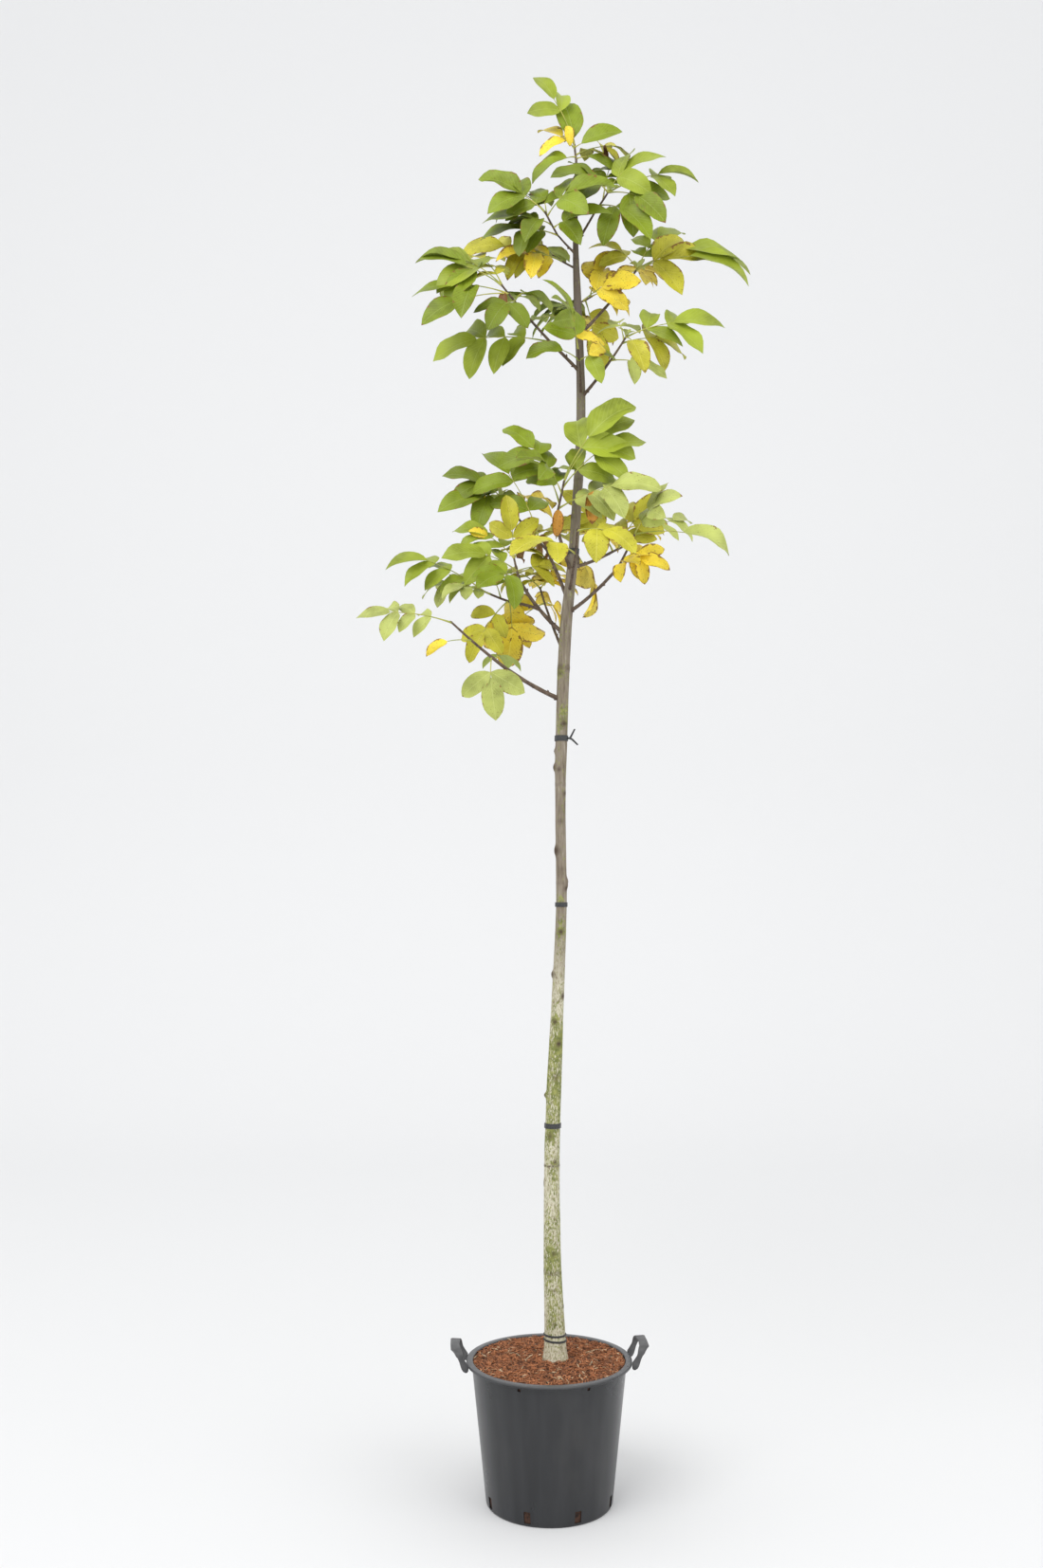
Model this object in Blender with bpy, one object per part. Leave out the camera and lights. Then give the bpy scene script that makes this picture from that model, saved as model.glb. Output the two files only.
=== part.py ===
"""A young common walnut tree in its nursery pot, in metres, standing on Z = 0.

The pot's underside is centred on the origin. +X is to the right of the photograph, +Y away from it.
A bearing is in degrees round +Z from +X, and a rise is in degrees above level.
"""
import math
import random

import bmesh
import bpy
from mathutils import Matrix, Vector
from mathutils.bvhtree import BVHTree

GAP = 0.0003
UP = Vector((0, 0, 1))

# Pot: a plain round nursery container of about 35 litres, with an overhanging lip and slots round its foot
POT_LIP_RADIUS = 0.2107
POT_WALL = 0.0026
POT_SIDES = 36
POT_OUTLINE = ((0.0, 0.1570), (0.005, 0.1600), (0.337, 0.1958), (0.3375, 0.2000), (0.343, 0.2010),
               (0.3445, 0.2107), (0.349, 0.2107), (0.3505, 0.2090))
POT_INSIDE = ((0.3505, 0.1950), (0.3488, 0.1933), (0.005, 0.1574), (POT_WALL, 0.1550))
SLOT_COUNT = 8
SLOT_BEARING = 114.5
SLOT_WIDTH = 0.017
SLOT_TOP = 0.036
SLOT_BOTTOM = 0.0075
SLOT_DEPTH = (0.147, 0.180)

# Handles: a flat strap bent into a loop over the lip, on the left and on the right
HANDLE_TURN = 3
HANDLE_SPAN = 0.048
HANDLE_TOP = 0.390
HANDLE_CORNER = 0.014
HANDLE_CORNER_STEPS = 2
HANDLE_THICKNESS = 0.005
# Sections of a leg from its lug up to its corner: height, and the radius of the inner and the outer edge
HANDLE_LEG = ((0.3345, 0.2145, 0.2195), (0.3385, 0.2118, 0.2255), (0.3445, 0.2111, 0.2290),
              (0.3520, 0.2111, 0.2315), (0.3620, 0.2185, 0.2345), (0.3705, 0.2240, 0.2385))
# Inner and outer edge where a corner starts, where it ends and in the middle of the grip
HANDLE_CORNER_LOW = (0.2255, 0.2430)
HANDLE_CORNER_HIGH = (0.2285, 0.2530)
HANDLE_GRIP = (0.2285, 0.2505)

# Growing medium: fills the pot to just under the lip and is heaped round the trunk
SOIL_EDGE_HEIGHT = 0.3450
SOIL_HEAP_HEIGHT = 0.3490
SOIL_LUMP = 0.0022
SOIL_SEAT_RADIUS = 0.042
SOIL_RINGS = (0.8, 0.55, 0.32)

# Trunk: height, how far it stands to the right, and radius, from the soil to the leader's tip
TRUNK_ROUTE = (
    (0.3493, 0.0160, 0.0335), (0.372, 0.0156, 0.0290), (0.440, 0.0140, 0.0258), (0.600, 0.0085, 0.0221),
    (0.850, 0.0080, 0.0198), (1.060, 0.0145, 0.0185), (1.240, 0.0228, 0.0160), (1.500, 0.0330, 0.0140),
    (1.760, 0.0312, 0.0137), (1.900, 0.0330, 0.0155), (2.210, 0.0450, 0.0158), (2.430, 0.0669, 0.0132),
    (2.750, 0.0868, 0.0122), (2.930, 0.0862, 0.0110), (3.140, 0.0780, 0.0098), (3.240, 0.0750, 0.0078),
    (3.330, 0.0746, 0.0064), (3.490, 0.0768, 0.0034),
)
TRUNK_SIDES = 10
TRUNK_RING_STEP = 0.11
# Knots where twigs were pruned: height, bearing, how far they stand out
TRUNK_KNOTS = ((1.012, 180, 0.0065), (1.565, 15, 0.0030), (1.900, 175, 0.0035), (2.395, 330, 0.0060))
KNOT_HEIGHT = 0.014
KNOT_FOCUS = 8
RING_MARGIN = 0.005
CUT_BELOW = 0.08
CUT_ABOVE = 0.12

# Ties: snug bands round the trunk: height of the middle, width, and rise towards the right
TIES = {"tie_foot_low": (0.3985, 0.0050, -0.07), "tie_foot_high": (0.4115, 0.0050, -0.02),
        "tie_low": (0.935, 0.0125, 0), "tie_middle": (1.500, 0.0115, 0), "tie_high": (1.933, 0.0145, 0),
        "tape_crown": (2.428, 0.014, 0)}
TIE_THICKNESS = 0.0020

# Boughs: what each leaves and where, bearing, rise, length, root radius, tip radius, and upward turn
BOUGHS = {
    "bough_low_left": ("trunk", 2.033, 195, 27, 0.165, 0.0062, 0.0052, 12),
    "bough_left": ("trunk", 2.205, 161, 50, 0.190, 0.0058, 0.0042, 18),
    "bough_left_side": ("bough_left", 0.66, 166, 16, 0.078, 0.0042, 0.0036, -8),
    "bough_left_thin": ("trunk", 2.155, 114, 52, 0.180, 0.0042, 0.0030, 6),
    "bough_left_high": ("trunk", 2.294, 122, 57, 0.185, 0.0052, 0.0040, -8),
    "bough_centre_left": ("trunk", 2.372, 243, 50, 0.145, 0.0050, 0.0040, 14),
    "bough_right": ("trunk", 2.262, 330, 35, 0.175, 0.0050, 0.0038, 16),
    "bough_right_high": ("trunk", 2.385, 33, 24, 0.144, 0.0048, 0.0036, 12),
    "bough_front_low": ("trunk", 2.320, 276, 32, 0.130, 0.0044, 0.0032, 14),
    "bough_back_low": ("trunk", 2.345, 82, 40, 0.140, 0.0046, 0.0034, 12),
    "bough_up_right": ("trunk", 2.842, 322, 40, 0.120, 0.0046, 0.0034, 10),
    "bough_up_left": ("trunk", 2.912, 204, 38, 0.110, 0.0046, 0.0040, 0),
    "bough_front_up": ("trunk", 2.850, 266, 34, 0.080, 0.0036, 0.0026, 10),
    "bough_back_up": ("trunk", 2.985, 97, 42, 0.120, 0.0044, 0.0032, 8),
    "bough_top_right": ("trunk", 3.012, 26, 49, 0.178, 0.0046, 0.0034, 4),
    "bough_leader_right": ("trunk", 3.262, 337, 55, 0.092, 0.0036, 0.0028, 4),
    "bough_leader_left": ("trunk", 3.235, 214, 32, 0.065, 0.0030, 0.0024, 8),
}
BOUGH_SIDES = 6
BOUGH_RINGS = 4
BOUGH_COLLAR = 1.5
COLLAR_LENGTH = 0.02

# Foliage: what each mass grows on, then its stem's bearing, rise and length, then its leaves.
# A leaf is a row: place along the stem, bearing, rise, reach of the leaf stalk, pairs, leaflet length, and
# how far its upper face leans from the sky towards the front.
FOLIAGE = {
    "leaves_low_left": ("bough_low_left", (196, 38, 0.190), (
        (1.00, 190, 8, 0.16, 3, 0.085, 46), (0.72, 208, -6, 0.070, 0, 0.068, 62),
        (0.45, 264, -70, 0.060, 1, 0.108, 62), (0.40, 80, 16, 0.09, 1, 0.070, 46))),
    "leaves_left_side": ("bough_left_side", (164, 24, 0.085), (
        (1.00, 176, 14, 0.105, 2, 0.085, 44), (1.00, 190, 27, 0.17, 3, 0.105, 44),
        (0.80, 225, 4, 0.10, 2, 0.065, 46), (0.50, 110, 46, 0.12, 2, 0.090, 52),
        (0.30, 214, -50, 0.12, 2, 0.090, 62), (0.25, 80, -62, 0.07, 2, 0.115, 64))),
    "leaves_left": ("bough_left", (150, 74, 0.075), (
        (0.60, 210, 20, 0.10, 2, 0.110, 46), (0.30, 245, -2, 0.10, 1, 0.100, 58),
        (0.60, 20, 16, 0.06, 1, 0.085, 54), (1.00, 60, 40, 0.07, 2, 0.085, 48),
        (1.00, 160, 42, 0.10, 2, 0.100, 48), (1.00, 262, 64, 0.075, 1, 0.090, 72))),
    "leaves_left_thin": ("bough_left_thin", (111, 55, 0.075), (
        (0.40, 60, 0, 0.05, 2, 0.100, 66), (1.00, 128, 32, 0.12, 3, 0.090, 50),
        (1.00, 60, 32, 0.08, 2, 0.095, 54), (0.40, 170, -30, 0.07, 2, 0.105, 64))),
    "leaves_left_high": ("bough_left_high", (146, 48, 0.225), (
        (0.35, 176, 66, 0.21, 2, 0.130, 52), (1.00, 194, 36, 0.07, 3, 0.105, 48),
        (1.00, 205, 4, 0.05, 1, 0.130, 46), (0.80, 40, 38, 0.08, 2, 0.095, 54),
        (0.40, 90, 14, 0.09, 2, 0.085, 52), (0.95, 110, 22, 0.12, 3, 0.085, 50))),
    "leaves_centre_left": ("bough_centre_left", (290, 56, 0.110), (
        (0.60, 192, 64, 0.155, 3, 0.105, 54), (1.00, 345, 60, 0.13, 1, 0.150, 52),
        (0.90, 350, 44, 0.13, 2, 0.120, 50), (0.50, 335, 16, 0.15, 3, 0.120, 50),
        (1.00, 352, 55, 0.13, 0, 0.140, 52), (1.00, 60, 58, 0.06, 1, 0.095, 52),
        (0.80, 240, 34, 0.10, 2, 0.095, 50))),
    "leaves_right": ("bough_right", (326, 58, 0.105), (
        (0.50, 340, -6, 0.045, 2, 0.078, 62), (0.25, 290, 10, 0.05, 1, 0.080, 60),
        (1.00, 0, 2, 0.125, 0, 0.125, 44), (1.00, 300, 36, 0.09, 2, 0.090, 60))),
    "leaves_right_high": ("bough_right_high", (26, 30, 0.130), (
        (0.15, 190, 56, 0.12, 3, 0.095, 50), (0.35, 330, 56, 0.09, 2, 0.100, 50),
        (1.00, 34, 28, 0.10, 2, 0.090, 58), (0.80, 70, 42, 0.13, 3, 0.090, 54))),
    "leaves_front_low": ("bough_front_low", (272, 34, 0.090), (
        (1.00, 318, -8, 0.085, 1, 0.115, 48), (0.45, 350, -14, 0.10, 0, 0.165, 8),
        (0.30, 232, 6, 0.12, 1, 0.115, 44))),
    "leaves_back_low": ("bough_back_low", (84, 44, 0.110), (
        (1.00, 92, 36, 0.15, 3, 0.100, 52), (0.45, 66, -24, 0.15, 2, 0.115, 60),
        (1.00, 62, 22, 0.15, 3, 0.100, 52), (0.80, 128, 24, 0.16, 3, 0.100, 52))),
    "leaves_up_right": ("bough_up_right", (325, 48, 0.075), (
        (1.00, 2, 18, 0.13, 2, 0.125, 52), (1.00, 290, -30, 0.04, 0, 0.105, 66),
        (0.20, 345, -8, 0.07, 1, 0.080, 44), (0.80, 12, 14, 0.09, 1, 0.110, 54),
        (0.90, 100, 54, 0.08, 1, 0.080, 56), (0.30, 220, 36, 0.05, 1, 0.080, 50))),
    "leaves_up_left": ("bough_up_left", (206, 42, 0.190), (
        (1.00, 176, 39, 0.105, 1, 0.145, 48), (1.00, 190, 26, 0.105, 1, 0.125, 47),
        (0.90, 196, 4, 0.13, 1, 0.130, 46), (0.90, 204, -16, 0.13, 0, 0.125, 56),
        (0.80, 236, -28, 0.05, 1, 0.095, 62), (1.00, 118, 46, 0.16, 3, 0.095, 50),
        (0.80, 70, 34, 0.10, 3, 0.095, 46), (0.08, 187, 0, 0.195, 3, 0.125, 58))),
    "leaves_front_up": ("bough_front_up", (262, 30, 0.060), (
        (1.00, 250, 56, 0.09, 2, 0.105, 48), (0.60, 205, 22, 0.05, 0, 0.095, 50),
        (0.60, 325, 8, 0.04, 1, 0.085, 46))),
    "leaves_back_up": ("bough_back_up", (92, 44, 0.090), (
        (1.00, 104, 34, 0.15, 3, 0.100, 50), (0.60, 58, 22, 0.15, 3, 0.095, 50),
        (0.80, 140, 16, 0.14, 3, 0.095, 50))),
    "leaves_top_right": ("bough_top_right", (27, 52, 0.105), (
        (1.00, 352, 20, 0.14, 0, 0.175, 48), (1.00, 22, 58, 0.12, 3, 0.105, 52),
        (0.95, 340, 18, 0.07, 1, 0.128, 60), (1.00, 205, 40, 0.06, 1, 0.090, 54),
        (0.80, 75, 32, 0.13, 3, 0.100, 50), (1.00, 345, 8, 0.145, 0, 0.165, 50))),
    "leaves_yellow_right": ("trunk", (3.100, 62, 30, 0.100), (
        (1.00, 28, 26, 0.06, 2, 0.100, 62), (0.35, 342, 30, 0.06, 1, 0.105, 60),
        (0.55, 40, -72, 0.08, 2, 0.100, 66), (0.90, 335, 70, 0.06, 1, 0.088, 60))),
    "leaves_upper_back": ("trunk", (3.195, 150, 36, 0.085), (
        (0.80, 180, 14, 0.15, 3, 0.115, 64), (1.00, 104, 30, 0.15, 3, 0.100, 50),
        (0.60, 208, 4, 0.09, 2, 0.105, 54))),
    "leaves_leader_right": ("bough_leader_right", (345, 54, 0.065), (
        (1.00, 212, 28, 0.06, 1, 0.110, 46), (1.00, 322, 42, 0.06, 1, 0.125, 58),
        (1.00, 325, -20, 0.09, 1, 0.120, 62), (0.70, 70, 62, 0.14, 3, 0.085, 48),
        (1.00, 354, 18, 0.14, 2, 0.110, 46), (0.50, 315, -24, 0.08, 1, 0.110, 60))),
    "leaves_leader_left": ("bough_leader_left", (230, 40, 0.070), (
        (1.00, 184, 38, 0.08, 2, 0.120, 52), (0.20, 188, 8, 0.09, 2, 0.110, 48),
        (1.00, 136, 44, 0.12, 2, 0.105, 52), (0.90, 322, 38, 0.07, 1, 0.130, 56),
        (0.60, 198, 14, 0.05, 1, 0.120, 48), (0.50, 335, 20, 0.04, 1, 0.105, 52),
        (0.95, 110, 70, 0.05, 1, 0.088, 62))),
    "leaves_leader": ("trunk tip", (180, 84, 0.045), (
        (0.90, 192, 66, 0.140, 1, 0.096, 56), (1.00, 200, 82, 0.02, 0, 0.125, 74),
        (0.80, 172, 48, 0.05, 1, 0.085, 56), (0.90, 335, 20, 0.02, 0, 0.098, 76),
        (0.40, 212, -22, 0.04, 1, 0.100, 48), (0.30, 345, 4, 0.03, 0, 0.100, 50),
        (0.50, 24, 26, 0.10, 2, 0.090, 48))),
}
STEM_SIDES = 5
STEM_RINGS = 4
STEM_TURN = 6
STEM_KNEE = 0.006
STEM_ROOT_RADIUS = 0.0032
STEM_TIP_RADIUS = 0.0028
STALK_ROOT_RADIUS = 0.0020
STALK_TIP_RADIUS = 0.0013
STALK_SAG = 10
STALK_RINGS = 5
STALK_CORNERS = tuple(math.radians(120 * k) for k in range(3))
FIRST_PAIR = 0.15
PAIR_ROOM = 0.60
LAST_PAIR = 0.88
LEAN_JITTER = 8
SPACE_REACH = 0.46

# Leaflets: shape and hang of one blade, as shares of its length or in degrees
LEAFLET_ROOT = 0.0022
LEAFLET_WIDTH = 0.52
LEAFLET_STATIONS = ((0.30, 0.98), (0.72, 0.80))
LEAFLET_CREST = 0.42
LEAFLET_THICKNESS = 0.024
LEAFLET_BEND = 48
LEAFLET_SPREAD = 54
LEAFLET_DROP = 4
LEAFLET_LOUVRE = 14
LEAFLET_TRIES = 4
BASAL_SHARE = 0.70
TERMINAL_SHARE = 1.12
TURN_JITTER = 11
SIZE_JITTER = 0.08
CLEARANCE = 0.0012
ROOT_SHARE = 0.1

SEED = 20
TINTS = {"green": (0.20, 0.34, 0.04), "yellow": (0.62, 0.46, 0.04)}
YELLOW_MASSES = ("leaves_left_thin", "leaves_right", "leaves_yellow_right", "leaves_back_low")


def material(name, colour, roughness, metallic=0.0):
    """A plain Principled finish, made once and shared by name."""
    found = bpy.data.materials.get(name)
    if found:
        return found
    made = bpy.data.materials.new(name)
    made.use_nodes = True
    shader = made.node_tree.nodes["Principled BSDF"]
    shader.inputs["Base Color"].default_value = (*colour, 1)
    shader.inputs["Roughness"].default_value = roughness
    shader.inputs["Metallic"].default_value = metallic
    made.diffuse_color = (*colour, 1)
    return made


def add_object(name, verts, faces, finish=None, smooth_angle=None):
    """Make a mesh object at the origin, linked to the scene."""
    mesh = bpy.data.meshes.new(name)
    mesh.from_pydata([tuple(v) for v in verts], [], faces)
    shell = bmesh.new()
    shell.from_mesh(mesh)
    bmesh.ops.recalc_face_normals(shell, faces=shell.faces)
    shell.to_mesh(mesh)
    shell.free()
    if smooth_angle:
        mesh.shade_smooth()
        mesh.set_sharp_from_angle(angle=math.radians(smooth_angle))
    if finish:
        mesh.materials.append(finish)
    made = bpy.data.objects.new(name, mesh)
    bpy.context.scene.collection.objects.link(made)
    return made


def heading(bearing, rise):
    """The unit vector at a bearing and a rise, in degrees."""
    turn, lift = math.radians(bearing), math.radians(rise)
    return Vector((math.cos(lift) * math.cos(turn), math.cos(lift) * math.sin(turn), math.sin(lift)))


def tube(points, radii, sides):
    """A closed tube of flat-ended rings along points, each ring square to the route there."""
    points = [Vector(p) for p in points]
    verts, side = [], None
    for i, point in enumerate(points):
        ahead = points[min(i + 1, len(points) - 1)] - point
        behind = point - points[max(i - 1, 0)]
        along = (ahead.normalized() + behind.normalized()).normalized()
        if side is None:
            side = along.cross(UP) if abs(along.z) < 0.95 else along.cross(Vector((0, 1, 0)))
        side = (side - along * side.dot(along)).normalized()
        across = along.cross(side)
        for k in range(sides):
            turn = 2 * math.pi * k / sides
            verts.append(point + radii[i] * (math.cos(turn) * side + math.sin(turn) * across))
    return verts, ring_faces(len(points), sides)


def ring_faces(rings, sides):
    """Faces of a closed tube whose rings follow one another, with a cap at each end."""
    faces = [tuple(reversed(range(sides)))]
    for i in range(rings - 1):
        for k in range(sides):
            a, b = i * sides + k, i * sides + (k + 1) % sides
            faces.append((a, b, b + sides, a + sides))
    faces.append(tuple(range((rings - 1) * sides, rings * sides)))
    return faces


def turned(outline, sides):
    """A closed round solid from (height, radius) pairs, listed from the lower axis end to the upper one."""
    verts = [Vector((0, 0, outline[0][0]))]
    for height, radius in outline[1:-1]:
        verts += [radius * heading(360 * k / sides, 0) + height * UP for k in range(sides)]
    verts.append(Vector((0, 0, outline[-1][0])))
    faces, last = [], len(verts) - 1
    for k in range(sides):
        after = (k + 1) % sides
        faces.append((0, 1 + after, 1 + k))
        for i in range(len(outline) - 3):
            low, high = 1 + i * sides, 1 + (i + 1) * sides
            faces.append((low + k, low + after, high + after, high + k))
        faces.append((last - sides + k, last - sides + after, last))
    return verts, faces


def boolean(target, operation, others, solver="EXACT"):
    """Join the others to the target, or cut them from it, apply the result and remove the others."""
    group = bpy.data.collections.new("operands")
    for other in others:
        group.objects.link(other)
        bpy.context.scene.collection.objects.unlink(other)
    bpy.context.scene.collection.children.link(group)
    modifier = target.modifiers.new("join", "BOOLEAN")
    modifier.operation = operation
    modifier.solver = solver
    modifier.operand_type = "COLLECTION"
    modifier.collection = group
    result = bpy.data.meshes.new_from_object(target.evaluated_get(bpy.context.evaluated_depsgraph_get()))
    target.modifiers.remove(modifier)
    target.data = result
    for other in others:
        bpy.data.objects.remove(other)
    bpy.data.collections.remove(group)


def keep_main_body(target):
    """Keep the largest shell, without scraps, sealed hollows or flat fins. Returns whether it is closed."""
    mesh = bmesh.new()
    mesh.from_mesh(target.data)
    left, shells = set(mesh.faces), []
    while left:
        shell, front = set(), [left.pop()]
        while front:
            face = front.pop()
            shell.add(face)
            for edge in face.edges:
                for other in edge.link_faces:
                    if other in left:
                        left.discard(other)
                        front.append(other)
        shells.append(shell)
    main = max(shells, key=lambda shell: sum(face.calc_area() for face in shell))
    spare = [face for shell in shells if shell is not main for face in shell]
    bmesh.ops.delete(mesh, geom=spare, context="FACES")
    bmesh.ops.remove_doubles(mesh, verts=mesh.verts, dist=1e-6)
    bmesh.ops.triangulate(mesh, faces=mesh.faces)
    twins = {}
    for face in mesh.faces:
        twins.setdefault(frozenset(face.verts), []).append(face)
    fins = [face for pair in twins.values() if len(pair) == 2 for face in pair]
    bmesh.ops.delete(mesh, geom=fins, context="FACES")
    closed = all(len(edge.link_faces) == 2 for edge in mesh.edges)
    mesh.to_mesh(target.data)
    mesh.free()
    return closed


def between(rows, height):
    """Read the trunk's route at a height, on a smooth curve through its rows."""
    i = max(1, min(len(rows) - 1, next((k for k, row in enumerate(rows) if row[0] >= height), len(rows) - 1)))
    low, high = rows[i - 1], rows[i]
    before, after = rows[max(i - 2, 0)], rows[min(i + 1, len(rows) - 1)]
    span = high[0] - low[0]
    t = max(0.0, min(1.0, (height - low[0]) / span))
    values = []
    for column in (1, 2):
        slope_in = (high[column] - before[column]) / (high[0] - before[0]) * span
        slope_out = (after[column] - low[column]) / (after[0] - low[0]) * span
        values.append((2 * t**3 - 3 * t**2 + 1) * low[column] + (t**3 - 2 * t**2 + t) * slope_in
                      + (3 * t**2 - 2 * t**3) * high[column] + (t**3 - t**2) * slope_out)
    return values


def trunk_at(height):
    """Centre and radius of the trunk at a height."""
    lean, radius = between(TRUNK_ROUTE, height)
    return Vector((lean, 0, height)), radius


def trunk_solid(extra=0.0, low=TRUNK_ROUTE[0][0], high=TRUNK_ROUTE[-1][0]):
    """The trunk between two heights, with its knots, its radius grown by extra."""
    heights = [row[0] for row in TRUNK_ROUTE[:3]]
    steps = round((TRUNK_ROUTE[-1][0] - heights[-1]) / TRUNK_RING_STEP)
    heights += [heights[-1] + (TRUNK_ROUTE[-1][0] - heights[-1]) * (i + 1) / steps for i in range(steps)]
    for knot_height, _, _ in TRUNK_KNOTS:
        heights += [knot_height - KNOT_HEIGHT, knot_height, knot_height + KNOT_HEIGHT]
    heights = sorted({low, high} | {h for h in heights if low + RING_MARGIN < h < high - RING_MARGIN})
    verts = []
    for height in heights:
        centre, radius = trunk_at(height)
        for k in range(TRUNK_SIDES):
            bearing = 360 * k / TRUNK_SIDES
            bump = 0.0
            for knot_height, knot_bearing, stand in TRUNK_KNOTS:
                near = max(0.0, math.cos(math.radians(bearing - knot_bearing)))
                bump += stand * near**KNOT_FOCUS * math.exp(-(2 * (height - knot_height) / KNOT_HEIGHT)**2)
            verts.append(centre + (radius + bump + extra) * heading(bearing, 0))
    return verts, ring_faces(len(heights), TRUNK_SIDES)


def build_pot(plastic):
    """The moulded container: one wall with a floor, an overhanging lip and slots round its foot."""
    outline = [(0.0, 0.0), *POT_OUTLINE, *POT_INSIDE, (POT_WALL, 0.0)]
    pot = add_object("pot", *turned(outline, POT_SIDES), plastic)
    cutters = [slot_cutter(SLOT_BEARING + 360 * i / SLOT_COUNT) for i in range(SLOT_COUNT)]
    boolean(pot, "DIFFERENCE", cutters)
    pot.data.shade_smooth()
    pot.data.set_sharp_from_angle(angle=math.radians(30))


def slot_cutter(bearing):
    """A block that cuts one drain slot through the wall at a bearing."""
    out, across = heading(bearing, 0), heading(bearing + 90, 0)
    inner, outer = SLOT_DEPTH
    verts = [out * radius + across * side * SLOT_WIDTH / 2 + UP * height
             for height in (SLOT_BOTTOM, SLOT_TOP) for radius, side in
             ((inner, -1), (outer, -1), (outer, 1), (inner, 1))]
    return add_object("slot", verts, ring_faces(2, 4))


def build_handle(name, bearing, plastic):
    """A flat strap: lugs under the lip, waisted legs that lean out, wide corners and a level grip."""
    leg = [(HANDLE_SPAN, *row) for row in HANDLE_LEG]
    for step in range(HANDLE_CORNER_STEPS + 1):
        share = step / HANDLE_CORNER_STEPS
        turn = math.radians(90 * share)
        edges = [low + (high - low) * share for low, high in zip(HANDLE_CORNER_LOW, HANDLE_CORNER_HIGH)]
        leg.append((HANDLE_SPAN - HANDLE_CORNER * (1 - math.cos(turn)),
                    HANDLE_TOP - HANDLE_CORNER * (1 - math.sin(turn)), *edges))
    route = [(-along, *rest) for along, *rest in leg] + [(0.0, HANDLE_TOP, *HANDLE_GRIP)] + leg[::-1]
    verts = []
    for i, (along, height, inner, outer) in enumerate(route):
        here = Vector((along, height))
        ahead = Vector(route[min(i + 1, len(route) - 1)][:2]) - here
        behind = here - Vector(route[max(i - 1, 0)][:2])
        forward = (ahead.normalized() + behind.normalized()).normalized()
        normal = Vector((-forward.y, forward.x)) * HANDLE_THICKNESS / 2
        for edge, radius in ((-1, inner), (1, inner), (1, outer), (-1, outer)):
            turn = bearing + math.degrees((along + edge * normal.x) / POT_LIP_RADIUS)
            verts.append(radius * heading(turn, 0) + (height + edge * normal.y) * UP)
    add_object(name, verts, ring_faces(len(route), 4), plastic)


def inside_radius(height):
    """Radius of the pot's inner wall at a height."""
    rows = sorted(POT_INSIDE)
    i = next(k for k, row in enumerate(rows) if row[0] >= height)
    low, high = rows[max(i - 1, 0)], rows[i]
    share = (height - low[0]) / (high[0] - low[0] or 1)
    return low[1] + (high[1] - low[1]) * share


def build_soil():
    """Coarse bark and coir, in one lumpy block that fills the pot, with a level seat for the trunk."""
    rng = random.Random(SEED)
    foot, bend = POT_WALL + GAP, POT_INSIDE[2][0]
    edge = inside_radius(SOIL_EDGE_HEIGHT) - GAP
    rings = [(height, inside_radius(height) - 2 * GAP) for height in (foot, bend)]
    rings.append((SOIL_EDGE_HEIGHT, edge))
    rings += [(SOIL_EDGE_HEIGHT + (SOIL_HEAP_HEIGHT - SOIL_EDGE_HEIGHT) * (1 - share), edge * share)
              for share in SOIL_RINGS]
    rings.append((SOIL_HEAP_HEIGHT, SOIL_SEAT_RADIUS))
    verts, faces = turned([(foot, 0), *rings, (SOIL_HEAP_HEIGHT, 0)], POT_SIDES)
    seat = len(rings) - 1
    for i, vert in enumerate(verts):
        ring = (i - 1) // POT_SIDES
        if seat - len(SOIL_RINGS) <= ring < seat:
            vert.z -= rng.uniform(0, SOIL_LUMP)
        if ring == seat or i == len(verts) - 1:
            vert.x += trunk_at(SOIL_HEAP_HEIGHT)[0].x
    add_object("soil", verts, faces, material("soil_bark", (0.24, 0.10, 0.05), 0.95))


def build_ties(rubber):
    """Snug bands that ring the trunk, each a little clear of the bark."""
    for name, (height, width, slope) in TIES.items():
        rings = []
        _, girth = trunk_at(height)
        for level, extra in ((-1, GAP), (1, GAP), (1, TIE_THICKNESS), (-1, TIE_THICKNESS)):
            for k in range(TRUNK_SIDES):
                out = heading(360 * k / TRUNK_SIDES, 0)
                centre, radius = trunk_at(height + level * width / 2 + slope * girth * out.x)
                rings.append(centre + (radius + GAP + extra) * out)
        faces = []
        for i in range(4):
            for k in range(TRUNK_SIDES):
                a, b = i * TRUNK_SIDES, (i + 1) % 4 * TRUNK_SIDES
                after = (k + 1) % TRUNK_SIDES
                faces.append((a + k, b + k, b + after, a + after))
        add_object(name, rings, faces, rubber)


def limb_route(start, bearing, rise, length, turn, rings):
    """Points and headings along a limb that turns upwards evenly over its length."""
    points, point = [Vector(start)], Vector(start)
    for i in range(rings - 1):
        now = rise + turn * ((i + 0.5) / (rings - 1) - 0.5)
        point = point + heading(bearing, now) * length / (rings - 1)
        points.append(point)
    return points


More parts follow.
